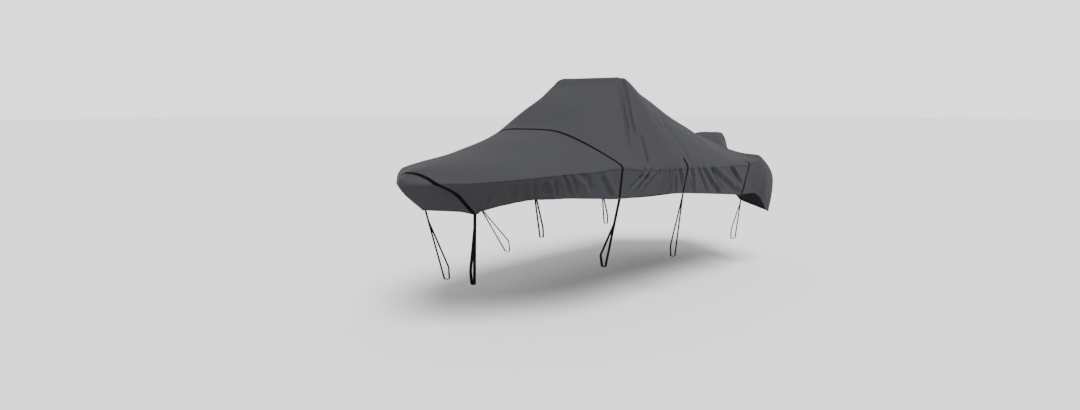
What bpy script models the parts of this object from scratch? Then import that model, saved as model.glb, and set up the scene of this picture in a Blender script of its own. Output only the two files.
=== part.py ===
"""Fitted cloth cover of an open boat, in the shape in which it hangs over the boat, with its straps.

The boat and its trailer are not part of the object, so the cover is hollow. The origin is on the underside
of the cloth where it lies over the console bar. +X points to the bow, +Y to port and +Z up. All sizes are in
metres.
"""

import math
from collections import namedtuple

import bmesh
import bpy
import numpy as np
from mathutils import Vector

CLOTH = 0.0015  # thickness of the coated cloth
GAP = 0.0003  # clearance between pieces that touch
SEAM_TRIM = 0.00025  # how far each panel ends short of its seam
WEBBING_WIDTH = 0.028
WEBBING = 0.0015  # thickness of the webbing
BAR_HEIGHT = 2.259  # outer side of the cloth over the console bar, above the ground
RAIL_BOTTOM = 0.447  # underside of the trailer rail that the loops go round, above the ground
RAIL_HEIGHT = 0.105
RAIL_WIDTH = 0.042
RAIL_PLAY = 0.003  # room between a loop and the rail

# Stations from the motor hood to the nose. ahead: the rim's place ahead of the console bar; ridge_ahead: the
# same on the centre line; half: half breadth at the rim; rim, ridge: their heights above the ground; flat:
# half width of the level middle; fall, sag: how the section bends from the middle down to the rim; hem_ahead,
# hem_half, hem: place, half breadth and height of the hem; flare: how early the skirt reaches the hem's
# breadth; belly: its outward bow.
STATION_COLUMNS = (
    "ahead", "ridge_ahead", "half", "rim", "ridge", "flat", "fall", "sag",
    "hem_ahead", "hem_half", "hem", "flare", "belly",
)
STATIONS = np.array([
    (-2.88, -2.88, 0.000, 1.360, 1.370, 0.020, 2.00, 1.0, -2.92, 0.000, 0.800, 1.00, 0.000),
    (-2.84, -2.84, 0.120, 1.370, 1.460, 0.050, 2.20, 1.0, -2.90, 0.160, 0.800, 1.00, 0.000),
    (-2.74, -2.74, 0.220, 1.375, 1.575, 0.100, 2.40, 1.0, -2.82, 0.300, 0.800, 1.00, 0.000),
    (-2.64, -2.64, 0.270, 1.380, 1.628, 0.130, 2.60, 1.0, -2.73, 0.380, 0.790, 1.00, 0.000),
    (-2.51, -2.51, 0.330, 1.380, 1.630, 0.130, 2.00, 1.0, -2.62, 0.450, 0.780, 1.00, 0.000),
    (-2.38, -2.38, 0.450, 1.380, 1.600, 0.140, 1.80, 1.3, -2.51, 0.570, 0.760, 1.00, 0.010),
    (-2.31, -2.31, 0.620, 1.386, 1.590, 0.140, 1.30, 2.0, -2.44, 0.740, 0.730, 1.00, 0.020),
    (-2.26, -2.26, 0.780, 1.386, 1.575, 0.140, 1.20, 2.4, -2.35, 0.885, 0.710, 1.00, 0.025),
    (-2.19, -2.19, 0.890, 1.385, 1.575, 0.140, 1.20, 2.4, -2.245, 1.01, 0.700, 1.00, 0.045),
    (-2.06, -2.06, 0.955, 1.356, 1.600, 0.120, 1.20, 2.0, -2.08, 1.010, 0.808, 1.00, 0.045),
    (-1.97, -1.97, 0.969, 1.340, 1.628, 0.110, 1.25, 1.7, -1.965, 1.000, 0.912, 1.00, 0.035),
    (-1.86, -1.86, 0.980, 1.330, 1.658, 0.100, 1.30, 1.5, -1.83, 0.985, 0.958, 1.00, 0.020),
    (-1.72, -1.72, 0.988, 1.322, 1.682, 0.100, 1.34, 1.3, -1.555, 0.975, 0.966, 0.00, 0.000),
    (-1.06, -1.06, 1.005, 1.335, 1.896, 0.140, 1.40, 1.0, -1.06, 0.980, 1.013, 0.00, 0.000),
    (-0.56, -0.56, 1.010, 1.355, 2.060, 0.240, 1.37, 1.0, -0.56, 0.980, 1.064, 0.00, 0.000),
    (-0.26, -0.26, 1.010, 1.370, 2.159, 0.300, 1.28, 1.0, -0.21, 0.980, 1.099, 0.00, 0.000),
    (-0.06, -0.06, 1.010, 1.378, 2.240, 0.355, 1.21, 1.0, -0.04, 0.980, 1.112, 0.00, 0.000),
    (0.055, 0.055, 1.005, 1.382, 2.259, 0.385, 1.20, 1.0, 0.070, 0.975, 1.120, 0.00, 0.000),
    (0.190, 0.190, 1.003, 1.388, 2.178, 0.362, 1.25, 1.0, 0.190, 0.970, 1.127, 0.00, 0.000),
    (0.540, 0.540, 1.000, 1.400, 1.992, 0.230, 1.50, 1.0, 0.540, 0.965, 1.135, 0.00, 0.000),
    (0.940, 0.940, 0.985, 1.445, 1.748, 0.180, 1.30, 1.0, 0.940, 0.952, 1.148, 0.00, 0.000),
    (1.340, 1.340, 0.950, 1.420, 1.652, 0.030, 1.70, 1.0, 1.310, 0.900, 1.180, 0.00, 0.000),
    (1.740, 1.740, 0.880, 1.416, 1.556, 0.030, 1.70, 1.0, 1.640, 0.820, 1.203, 0.00, 0.000),
    (1.945, 1.960, 0.795, 1.404, 1.527, 0.020, 1.70, 1.0, 1.800, 0.700, 1.203, 0.00, 0.000),
    (2.160, 2.200, 0.610, 1.382, 1.500, 0.020, 1.70, 1.0, 1.950, 0.535, 1.168, 0.00, 0.000),
    (2.340, 2.410, 0.418, 1.364, 1.477, 0.020, 1.80, 1.0, 2.050, 0.390, 1.122, 0.06, 0.003),
    (2.425, 2.495, 0.322, 1.360, 1.459, 0.020, 1.80, 1.0, 2.085, 0.345, 1.105, 0.20, 0.004),
    (2.490, 2.562, 0.243, 1.356, 1.436, 0.020, 1.80, 1.0, 2.120, 0.305, 1.078, 0.30, 0.004),
    (2.540, 2.588, 0.187, 1.353, 1.424, 0.020, 1.90, 1.0, 2.200, 0.240, 1.103, 0.10, 0.004),
    (2.585, 2.615, 0.135, 1.356, 1.412, 0.020, 2.00, 1.0, 2.285, 0.165, 1.112, -0.10, 0.010),
    (2.665, 2.665, 0.000, 1.352, 1.392, 0.010, 2.00, 1.0, 2.420, 0.000, 1.122, -0.17, 0.010),
])

# How far in from the rim the cloth starts to turn over it: a tight bend forward, and a loose one from the mid
# strap to the stern. The bend reaches below the rim by a share of that.
RIM_BEND = (
    (-2.88, 0.040), (-1.90, 0.060), (-0.30, 0.055), (0.54, 0.055), (0.86, 0.070), (0.98, 0.070),
    (1.15, 0.030), (1.40, 0.020), (2.30, 0.018), (2.49, 0.028), (2.60, 0.045), (2.67, 0.050),
)
BEND_DROP = 0.35
BEND_SHARE = 0.12  # it takes up no more than this share of a narrow half section
FLARE_END = 0.45  # share of the skirt's depth at which a flared skirt has reached the hem's breadth

# To starboard the cloth lies lopsided over the fore deck and over the motor's head: by how much the level
# middle is wider there, at which place, and the length over which that fades.
LOPSIDED = ((0.22, 0.90, 0.48), (-0.08, -2.55, 0.22))
# How softly the level middle turns down, as a share of the slope: everywhere, and more around one place.
SOFT_TURN = 0.03
SOFTER_TURN = (0.14, 0.94, 0.25)

# Folds of the top: a trough from one place to another, each given ahead of the bar and as a share of the half
# breadth, then its half width and depth. mirror: how deep its twin to starboard is, as a share. A trough runs
# past both ends by a share of its length, and fades over another.
FOLD_PAST = 0.15
FOLD_FADE = 0.30
TOP_FOLDS = (
    # from    share   to      share  width  depth  mirror
    (0.120, 0.410, 0.530, 0.800, 0.035, 0.022, 0.8),
    (0.070, 0.430, 0.370, 0.740, 0.035, 0.030, 1.0),
    (0.370, 0.740, 0.470, 0.950, 0.035, 0.022, 0.6),
    (-0.450, 0.460, -0.210, 0.720, 0.040, 0.016, 0.7),
    (-0.670, 0.565, -1.450, 0.470, 0.040, 0.014, 0.8),
    (-0.250, 0.800, -0.220, 0.990, 0.035, 0.016, 0.5),
)
# Folds of the skirt, given in the same way with the share of its depth below the rim. They grow to their full
# depth over the first share of it.
FOLD_START = 0.15
SKIRT_FOLDS = (
    # from    down   to      down   width  depth  mirror
    (2.414, 0.900, 2.320, 0.550, 0.030, 0.015, 1.0),
    (2.372, 0.850, 2.223, 0.400, 0.030, 0.018, 0.8),
    (2.520, 0.900, 2.560, 0.500, 0.025, 0.012, 1.0),
    (2.020, 0.250, 2.050, 0.900, 0.030, 0.015, 0.9),
    (1.850, 0.200, 1.890, 0.950, 0.030, 0.015, 0.7),
    (1.750, 0.250, 1.780, 0.900, 0.030, 0.013, 1.0),
    (1.610, 0.200, 1.640, 0.950, 0.030, 0.018, 0.8),
    (1.500, 0.250, 1.520, 0.900, 0.030, 0.015, 0.9),
    (1.230, 0.200, 1.260, 0.850, 0.030, 0.015, 0.6),
    (0.400, 0.000, 0.690, 0.600, 0.035, 0.021, 0.7),
    (0.570, 0.050, 0.660, 0.300, 0.030, 0.015, 1.0),
    (0.300, 0.150, 0.310, 0.850, 0.030, 0.015, 0.8),
    (0.170, 0.200, 0.160, 0.900, 0.030, 0.015, 1.0),
    (0.010, 0.150, -0.010, 0.850, 0.030, 0.013, 0.7),
    (-0.360, 0.150, -0.430, 0.650, 0.035, 0.019, 0.9),
    (-0.430, 0.650, -0.610, 0.950, 0.035, 0.019, 0.9),
    (-0.540, 0.100, -0.670, 0.550, 0.035, 0.018, 0.8),
    (-0.670, 0.550, -0.850, 0.900, 0.035, 0.018, 0.8),
    (-1.020, 0.080, -1.290, 0.600, 0.035, 0.018, 1.0),
    (-1.250, 0.150, -1.640, 0.720, 0.035, 0.019, 0.8),
    (-1.850, 0.600, -1.790, 0.850, 0.030, 0.015, 1.0),
)

# Straps by the place where they cross the rim, and the place of their loops: where the rail's outer face is
# ahead of the bar and out from the centre line. over: the strap goes over the deck from side to side. neck:
# length over which the two layers of a loop lie flat together.
Strap = namedtuple("Strap", ("name", "rim_ahead", "rail_ahead", "rail_out", "rail_turn", "over", "neck"))
RAIL_TURN = math.radians(19.1)  # the rails close in towards the bow
STRAPS = (
    Strap("bow", 2.490, 2.013, 0.182, RAIL_TURN, True, 0.120),
    Strap("mid", 0.940, 0.697, 0.638, RAIL_TURN, True, 0.280),
    Strap("rear", -0.210, -0.189, 0.889, 0.0, False, 0.030),
    Strap("stern", -1.720, -1.540, 0.912, 0.0, False, 0.100),
)
SIDES = {"port": 1, "starboard": -1}

# Ribs between the straps, ahead of the bar, and the rows of each half, as a share of the way from the centre
# line to the rim and then down the skirt.
RIBS = (
    2.665, 2.635, 2.590, 2.545, 2.430, 2.340, 2.250, 2.160, 2.080, 2.010, 1.945, 1.860, 1.760, 1.690,
    1.620, 1.510, 1.420, 1.330, 1.240, 1.140, 1.040, 0.850, 0.750, 0.660, 0.570, 0.480, 0.400, 0.330,
    0.250, 0.170, 0.100, 0.055, -0.005, -0.060, -0.130, -0.300, -0.370, -0.440, -0.540, -0.620, -0.700,
    -0.800, -0.910, -1.020, -1.130, -1.240, -1.350, -1.450, -1.540, -1.640, -1.800, -1.880, -1.970, -2.060,
    -2.130, -2.190, -2.230, -2.265, -2.300, -2.340, -2.380, -2.440, -2.520, -2.620, -2.710, -2.780, -2.830,
    -2.860, -2.880,
)
TOP_ROWS = (0.0, 0.18, 0.36, 0.50, 0.63, 0.75, 0.87)
SKIRT_ROWS = (0.28, 0.52, 0.76, 1.0)
HOOD_SEAM = -2.380  # rib where the motor hood is sewn to the console panel
CORNER_SEAM = -2.060  # rib where a side skirt is sewn to the transom panel

CLOTH_COLOUR = (0.075, 0.082, 0.095, 1.0)
CLOTH_ROUGHNESS = 0.75
WEBBING_COLOUR = (0.006, 0.007, 0.010, 1.0)
WEBBING_ROUGHNESS = 0.60
SHARP_ANGLE = math.radians(35)  # edges sharper than this are shaded as creases

STEP = 0.004  # distance over which directions on the surface are measured
SAME_PLACE = 0.00001  # points closer together than this are one


def height(above_ground):
    """A height above the ground in the part's own frame."""
    return above_ground - BAR_HEIGHT + CLOTH


def curve(x, xs, ys):
    """The smooth curve through a table's points that has no humps of its own between them."""
    steps = np.diff(xs)
    slopes = np.diff(ys) / steps
    tangents = np.zeros(len(xs))
    rises = slopes[:-1] * slopes[1:] > 0
    before, after = slopes[:-1][rises], slopes[1:][rises]
    tangents[1:-1][rises] = 2 * before * after / (before + after)
    tangents[0] = slopes[0]
    tangents[-1] = slopes[-1]
    x = np.clip(x, xs[0], xs[-1])
    i = np.clip(np.searchsorted(xs, x) - 1, 0, len(xs) - 2)
    t = (x - xs[i]) / steps[i]
    start = ys[i] * (1 + 2 * t) * (1 - t) ** 2 + tangents[i] * steps[i] * t * (1 - t) ** 2
    end = ys[i + 1] * t**2 * (3 - 2 * t) + tangents[i + 1] * steps[i] * t**2 * (t - 1)
    return start + end


def station(name, ahead):
    """One column of the stations, at any place ahead of the bar."""
    return float(curve(ahead, STATIONS[:, 0], STATIONS[:, STATION_COLUMNS.index(name)]))


def swell(ahead, most, place, length):
    """A smooth swell over the ahead axis that is most at its place and fades over its length."""
    return most * math.exp(-(((ahead - place) / length) ** 2))


def rim_bend(ahead):
    """How far in from the rim the cloth starts to turn over it."""
    places = np.array(RIM_BEND)
    return float(np.interp(ahead, places[:, 0], places[:, 1]))


def trough(point, fold, side):
    """How deep one fold is at a point, with both given as (ahead, metres across)."""
    start, end, width, depth, mirror = fold
    along = end - start
    share = np.clip(np.dot(point - start, along) / np.dot(along, along), -FOLD_PAST, 1 + FOLD_PAST)
    distance = np.linalg.norm(point - start - along * share)
    ends = np.clip((0.5 + FOLD_PAST - abs(share - 0.5)) / FOLD_FADE, 0, 1)
    deep = depth * (1.0 if side > 0 else mirror)
    return deep * ends * math.exp(-((distance / width) ** 2))


def fold_depth(table, ahead, share, reach, side):
    """How deep all folds of a table are together at a place, where reach is the metres across for share 1."""
    point = np.array((ahead, share * reach))
    total = 0.0
    for start, start_share, end, end_share, width, depth, mirror in table:
        ends = np.array((start, start_share * reach)), np.array((end, end_share * reach))
        total += trough(point, (*ends, width, depth, mirror), side)
    return total


def rim_point(ahead, side):
    return np.array((ahead, side * station("half", ahead), height(station("rim", ahead))))


def outward(ahead, side):
    """The level direction that points out of the rim."""
    fore = rim_point(min(ahead + STEP, STATIONS[-1, 0]), side)
    aft = rim_point(max(ahead - STEP, STATIONS[0, 0]), side)
    along = fore - aft
    normal = np.array((-along[1], along[0], 0.0)) * side
    return normal / np.linalg.norm(normal)


def top_point(ahead, share, side):
    """A point of the top, share of the way from the centre line to the rim, before the rim's bend."""
    half = station("half", ahead)
    level = station("flat", ahead)
    if side < 0:
        level += sum(swell(ahead, *wider) for wider in LOPSIDED)
    level = min(level / max(half, 0.001), 0.9)
    soft = SOFT_TURN + swell(ahead, *SOFTER_TURN)
    slope = 1 - level
    turns = (-level / slope, (share - level) / slope, 1.0)
    start, past, end = (value + math.hypot(value, soft) for value in turns)
    past = (past - start) / (end - start)
    crown = max(1 - max(past, 0) ** station("fall", ahead), 0) ** station("sag", ahead)
    rim = station("rim", ahead)
    z = height(rim + (station("ridge", ahead) - rim) * crown)
    z -= fold_depth(TOP_FOLDS, ahead, share, half, side)
    ridge_ahead = station("ridge_ahead", ahead)
    return np.array((ridge_ahead + (ahead - ridge_ahead) * share, side * share * half, z))


def skirt_point(ahead, down, side):
    """A point of the skirt, down as a share of its depth below the rim."""
    rim = rim_point(ahead, side)
    hem_half = side * station("hem_half", ahead)
    hem = np.array((station("hem_ahead", ahead), hem_half, height(station("hem", ahead))))
    early = min(down / FLARE_END, 1)
    level = down + station("flare", ahead) * (early * (2 - early) - down)
    point = rim + (hem - rim) * np.array((level, level, down))
    depth = rim[2] - hem[2]
    bow = station("belly", ahead) * math.sin(math.pi * down)
    bow -= fold_depth(SKIRT_FOLDS, ahead, down, depth, side) * min(down / FOLD_START, 1)
    return point + outward(ahead, side) * bow


def rim_rows(ahead):
    """The last row of the top and the first of the skirt, where the rim's bend starts and ends."""
    bend = rim_bend(ahead)
    half = max(station("half", ahead), bend / BEND_SHARE)
    depth = station("rim", ahead) - station("hem", ahead)
    return 1 - bend / half, BEND_DROP * bend / depth


def rib(ahead, side):
    """The points of one side of a rib, from the centre line over the rim to the hem."""
    top_end, skirt_start = rim_rows(ahead)
    before = top_point(ahead, top_end, side)
    after = skirt_point(ahead, skirt_start, side)
    turn = (before + 2 * rim_point(ahead, side) + after) / 4
    top = [top_point(ahead, share, side) for share in TOP_ROWS]
    skirt = [skirt_point(ahead, down, side) for down in SKIRT_ROWS]
    return [*top, before, turn, after, *skirt]


def strap_edge(ahead, side, toward):
    """A rib of one side at a webbing's edge, half its width fore (toward 1) or aft (-1) of its middle."""
    middle = np.array(rib(ahead, side))
    fore = np.array(rib(ahead + STEP, side))
    across = (fore - middle) / STEP
    along = np.gradient(middle, axis=0)
    along /= np.linalg.norm(along, axis=1, keepdims=True)
    square = across - along * np.sum(across * along, axis=1, keepdims=True)
    shift = toward * WEBBING_WIDTH / 2 / np.linalg.norm(square, axis=1)
    points = []
    for row, move in enumerate(shift):
        points.append(rib(ahead + move, side)[row])
    return points


def whole_rib(ahead, toward=0):
    """A rib from the port hem over the ridge to the starboard hem."""
    make = (lambda side: strap_edge(ahead, side, toward)) if toward else (lambda side: rib(ahead, side))
    port, starboard = make(1), make(-1)
    if ahead in (STATIONS[0, 0], STATIONS[-1, 0]):
        port = [point * np.array((1, 0, 1)) for point in port]
        starboard = port
    ridge = (port[0] + starboard[0]) / 2
    return [*port[:0:-1], ridge, *starboard[1:]]


def rib_places():
    """All ribs from the nose to the stern, as (ahead, toward); a strap adds one at each of its edges."""
    places = [(ahead, 0) for ahead in RIBS]
    for strap in STRAPS:
        places += [(strap.rim_ahead, 1), (strap.rim_ahead, -1)]
    return sorted(places, key=lambda place: (-place[0], -place[1]))


def triangles(rows, columns):
    """The two triangles of each cell of a grid, with the same diagonals wherever a piece uses the cell."""
    cells = []
    for i in range(rows[0], rows[1]):
        for j in range(columns[0], columns[1]):
            cells.append(((i, j), (i, j + 1), (i + 1, j + 1)))
            cells.append(((i, j), (i + 1, j + 1), (i + 1, j)))
    return cells


def grid_normals(grid):
    """The outward normal at each point of a grid. Points of an end rib that lie in one place share theirs."""
    n, m = grid.shape[:2]
    normals = np.zeros_like(grid)
    for corners in triangles((0, n - 1), (0, m - 1)):
        a, b, c = (grid[k] for k in corners)
        area = np.cross(b - a, c - a)
        for k in corners:
            normals[k] += area
    for end in (0, -1):
        own = normals[end].copy()
        for j in range(m):
            same = np.linalg.norm(grid[end] - grid[end, j], axis=1) < SAME_PLACE
            normals[end, j] = own[same].sum(axis=0)
    lengths = np.linalg.norm(normals, axis=2, keepdims=True)
    return normals / np.maximum(lengths, 1e-12)


def seam_direction(grid, i, j, along_rib):
    """The direction of a seam at a point of the grid, along its rib or along its row."""
    n, m = grid.shape[:2]
    if along_rib:
        way = grid[i, min(j + 1, m - 1)] - grid[i, max(j - 1, 0)]
    else:
        way = grid[min(i + 1, n - 1), j] - grid[max(i - 1, 0), j]
    return way / max(np.linalg.norm(way), 1e-9)


def shell(name, grid, normals, patches, inside, outside, material, trim, ends=()):
    """A closed sheet over patches of the grid, from inside to outside of its surface.

    A patch is ((first rib, last rib), (first row, last row)). trim draws the patch's own outline in by that
    much on the sides named in ends ("fore", "aft", "first", "last"); the other sides keep the grid's outline.
    """
    points, faces, index = [], [], {}

    def vertex(key, layer, patch):
        (first_rib, last_rib), (first_row, last_row) = patch
        i, j = key
        place = grid[i, j].copy()
        for side, at, other in (
            ("fore", i == first_rib, (i + 1, j)),
            ("aft", i == last_rib, (i - 1, j)),
            ("first", j == first_row, (i, j + 1)),
            ("last", j == last_row, (i, j - 1)),
        ):
            if at and side in ends:
                inward = grid[other] - grid[i, j]
                seam = seam_direction(grid, i, j, side in ("fore", "aft"))
                square = np.linalg.norm(inward - seam * np.dot(inward, seam))
                if square > 1e-6:
                    place += inward * (trim / square)
        place += normals[i, j] * (outside if layer else inside)
        label = (*np.round(place, 6), layer)
        if label not in index:
            index[label] = len(points)
            points.append(place)
        return index[label]

    for patch in patches:
        for corners in triangles(*patch):
            outer = [vertex(key, 1, patch) for key in corners]
            inner = [vertex(key, 0, patch) for key in corners]
            if len(set(outer)) == 3:
                faces.append(outer)
                faces.append(inner[::-1])
    used = {}
    for face in faces:
        for a, b in zip(face, face[1:] + face[:1]):
            used[(a, b)] = True
    twin = {}
    for patch in patches:
        for corners in triangles(*patch):
            for key in corners:
                twin[vertex(key, 1, patch)] = vertex(key, 0, patch)
    for a, b in list(used):
        if (b, a) not in used and a in twin and b in twin:
            faces.append([b, a, twin[a]])
            faces.append([b, twin[a], twin[b]])
    return mesh_object(name, points, faces, material)


def mesh_object(name, points, faces, material):
    mesh = bpy.data.meshes.new(name)
    mesh.from_pydata([tuple(p) for p in points], [], faces)
    mesh.materials.append(material)
    mesh.validate()
    mesh.shade_smooth()
    mesh.set_sharp_from_angle(angle=SHARP_ANGLE)
    made = bpy.data.objects.new(name, mesh)
    bpy.context.scene.collection.objects.link(made)
    return made


def make_material(name, colour, roughness):
    material = bpy.data.materials.new(name)
    material.use_nodes = True
    shader = material.node_tree.nodes["Principled BSDF"]
    shader.inputs["Base Color"].default_value = colour
    shader.inputs["Roughness"].default_value = roughness
    shader.inputs["Metallic"].default_value = 0.0
    material.diffuse_color = colour
    return material


def drawn_in(path, distance):
    """A closed path of points in a plane, offset to its left by a distance."""
    moved = []
    for k, here in enumerate(path):
        before = (here - path[k - 1]).normalized()
        after = (path[(k + 1) % len(path)] - here).normalized()
        left = Vector((-before.y, before.x)) + Vector((-after.y, after.x))
        moved.append(here + left * (distance / (1 + before.dot(after))))
    return moved


def make_loop(name, strap, side, band_end, material):
    """The webbing loop that goes from a strap's lower end round the trailer rail.

    It is one band in the plane across the rail, leaning with the strap, so its edges stay along the rail.
    """
    turn = strap.rail_turn
    along = Vector((math.cos(turn), -side * math.sin(turn), 0))
    out = Vector((math.sin(turn), side * math.cos(turn), 0))
    rail = Vector((strap.rail_ahead, side * strap.rail_out, height(RAIL_BOTTOM)))
    top = Vector(band_end) - Vector((0, 0, GAP))
    neck = top - rail
    lean = neck.dot(along) / neck.z
    room = RAIL_PLAY + WEBBING / 2
    apex = Vector((neck.dot(out), neck.z))
    low = Vector((room, -room))
    parting = apex + (low - apex).normalized() * strap.neck
    path = [
        parting,
        Vector((-RAIL_WIDTH - room, RAIL_HEIGHT + room)),
        Vector((-RAIL_WIDTH - room, -room)),
        low,
    ]
    hole_outline = [parting, *drawn_in(path, WEBBING / 2)[1:]]
    layer = Vector((WEBBING, 0))
    outer = drawn_in(path, -WEBBING / 2)[1:]
    outline = [apex - layer, parting - layer, *outer, parting + layer, apex + layer]

    shape = bmesh.new()

    def place(point):
        q, z = point
        return rail + out * q + along * (lean * z) + Vector((0, 0, z)) - along * (WEBBING_WIDTH / 2)

    ring = [shape.verts.new(place(p)) for p in outline]
    hole = [shape.verts.new(place(p)) for p in hole_outline]
    shape.faces.new((ring[0], ring[1], hole[0], ring[5], ring[6]))
    shape.faces.new((ring[1], ring[2], hole[1], hole[0]))
    shape.faces.new((ring[2], ring[3], hole[2], hole[1]))
    shape.faces.new((ring[3], ring[4], hole[3], hole[2]))
    shape.faces.new((ring[4], ring[5], hole[0], hole[3]))
    grown = bmesh.ops.extrude_face_region(shape, geom=list(shape.faces))
    moved = [item for item in grown["geom"] if isinstance(item, bmesh.types.BMVert)]
    bmesh.ops.translate(shape, verts=moved, vec=along * WEBBING_WIDTH)
    bmesh.ops.recalc_face_normals(shape, faces=list(shape.faces))
    bmesh.ops.triangulate(shape, faces=list(shape.faces))
    mesh = bpy.data.meshes.new(name)
    shape.to_mesh(mesh)
    shape.free()
    mesh.materials.append(material)
    made = bpy.data.objects.new(name, mesh)
    bpy.context.scene.collection.objects.link(made)


def main():
    for old in list(bpy.data.objects):
        bpy.data.objects.remove(old)

    places = rib_places()
    grid = np.array([whole_rib(*place) for place in places])
    normals = grid_normals(grid)

    last_rib = len(places) - 1
    last_row = grid.shape[1] - 1
    skirt_rows = len(SKIRT_ROWS) + 1  # rows from the hem to the rim
    port_rim, starboard_rim = skirt_rows, last_row - skirt_rows
    hood = places.index((HOOD_SEAM, 0))
    corner = places.index((CORNER_SEAM, 0))
    strap_ribs = {strap.name: places.index((strap.rim_ahead, 1)) for strap in STRAPS}
    mid = strap_ribs["mid"]

    def cloth(name, patches, ends):
        material = make_material(name, CLOTH_COLOUR, CLOTH_ROUGHNESS)
        shell(name, grid, normals, patches, -CLOTH, 0.0, material, SEAM_TRIM, ends)

    over = (port_rim, starboard_rim)
    cloth("bow_panel", [((0, mid), over)], ("aft", "first", "last"))
    cloth("console_panel", [((mid, hood), over)], ("fore", "aft", "first", "last"))
    cloth("motor_hood", [((hood, last_rib), over)], ("fore", "first", "last"))
    cloth("skirt_port", [((0, corner), (0, port_rim))], ("fore", "aft", "last"))
    cloth("skirt_starboard", [((0, corner), (starboard_rim, last_row))], ("fore", "aft", "first"))
    transom_panel(grid, normals, (corner, last_rib), (port_rim, starboard_rim))

    side_rows = {"port": (0, port_rim + 1), "starboard": (starboard_rim - 1, last_row)}
    for strap in STRAPS:
        first = strap_ribs[strap.name]
        if strap.over:
            bands = {f"{strap.name}_strap": (0, last_row)}
        else:
            bands = {f"{strap.name}_strap_{label}": rows for label, rows in side_rows.items()}
        for band, rows in bands.items():
            material = make_material(band, WEBBING_COLOUR, WEBBING_ROUGHNESS)
            shell(band, grid, normals, [((first, first + 1), rows)], GAP, GAP + WEBBING, material, 0.0)
        for label, side in SIDES.items():
            row = 0 if side > 0 else last_row
            end = (grid[first, row] + grid[first + 1, row]) / 2
            end = end + (normals[first, row] + normals[first + 1, row]) / 2 * (GAP + WEBBING / 2)
            end[2] = lowest(grid, normals, first, row)
            loop = f"{strap.name}_loop_{label}"
            make_loop(loop, strap, side, end, make_material(loop, WEBBING_COLOUR, WEBBING_ROUGHNESS))


def lowest(grid, normals, first, row):
    """The lowest corner of a strap's end and of the hem behind it."""
    corners = []
    for rib_index in (first, first + 1):
        for layer in (-CLOTH, 0.0, GAP, GAP + WEBBING):
            corners.append((grid[rib_index, row] + normals[rib_index, row] * layer)[2])
    return min(corners)


def transom_panel(grid, normals, ribs, rims):
    """The panel round the stern: the skirt of both sides aft of the corners, joined behind the motor hood."""
    corner, last_rib = ribs
    port_rim, starboard_rim = rims
    port = grid[corner:last_rib + 1, :port_rim + 1]
    starboard = grid[corner:last_rib + 1, starboard_rim:][::-1, ::-1]
    port_normals = normals[corner:last_rib + 1, :port_rim + 1]
    starboard_normals = normals[corner:last_rib + 1, starboard_rim:][::-1, ::-1]
    joined = np.concatenate([port, starboard[1:]])
    joined_normals = np.concatenate([port_normals, starboard_normals[1:]])
    size = (0, joined.shape[0] - 1), (0, joined.shape[1] - 1)
    material = make_material("transom_panel", CLOTH_COLOUR, CLOTH_ROUGHNESS)
    ends = ("fore", "aft", "last")
    shell("transom_panel", joined, joined_normals, [size], -CLOTH, 0.0, material, SEAM_TRIM, ends)


main()
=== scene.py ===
"""Fitted cloth cover of an open boat, peaked over its console, with the webbing that ties it down.

The boat and its trailer are not part of the object. +X points to the bow, +Y to port and +Z up, from the
underside of the cloth over the console bar. All sizes are in metres.
"""

import math
from collections import namedtuple

import bmesh
import bpy
import numpy as np
from bpy.props import FloatProperty, FloatVectorProperty, PointerProperty
from mathutils import Euler, Matrix, Vector


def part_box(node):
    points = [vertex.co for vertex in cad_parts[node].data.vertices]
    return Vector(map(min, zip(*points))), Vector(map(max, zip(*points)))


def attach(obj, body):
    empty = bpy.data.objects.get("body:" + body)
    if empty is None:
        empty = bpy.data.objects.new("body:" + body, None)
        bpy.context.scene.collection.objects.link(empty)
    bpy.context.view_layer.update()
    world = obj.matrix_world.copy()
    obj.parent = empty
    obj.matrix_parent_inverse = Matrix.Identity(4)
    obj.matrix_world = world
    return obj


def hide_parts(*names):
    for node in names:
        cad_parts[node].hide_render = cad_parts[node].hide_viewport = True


bl_info = {
    "name": "Boat Cover",
    "version": (1, 0, 0),
    "blender": (4, 5, 0),
    "location": "3D View > Sidebar > Boat Cover",
    "description": "Fitted cloth boat cover with webbing straps",
    "category": "Add Mesh",
}

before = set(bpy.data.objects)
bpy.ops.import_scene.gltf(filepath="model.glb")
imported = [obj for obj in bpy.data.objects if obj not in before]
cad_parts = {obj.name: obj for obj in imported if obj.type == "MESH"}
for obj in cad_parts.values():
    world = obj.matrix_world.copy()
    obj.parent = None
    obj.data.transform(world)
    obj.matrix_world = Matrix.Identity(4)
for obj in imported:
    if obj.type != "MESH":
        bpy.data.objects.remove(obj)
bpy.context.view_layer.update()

BAR_HEIGHT = 2.259  # outer side of the cloth over the console bar, above the ground
RAIL_BOTTOM = 0.447  # underside of the trailer rail that the loops go round, above the ground
RAIL_HEIGHT = 0.105
RAIL_WIDTH = 0.042
RAIL_PLAY = 0.003  # room between a loop and the rail
SOLID_CLOTH = 0.0015  # thickness of the cloth in the CAD, all of it above the origin
SOLID_WEBBING = 0.0015  # thickness of the webbing in the CAD
GAP = 0.0003  # clearance between webbing and the cloth under it

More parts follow.
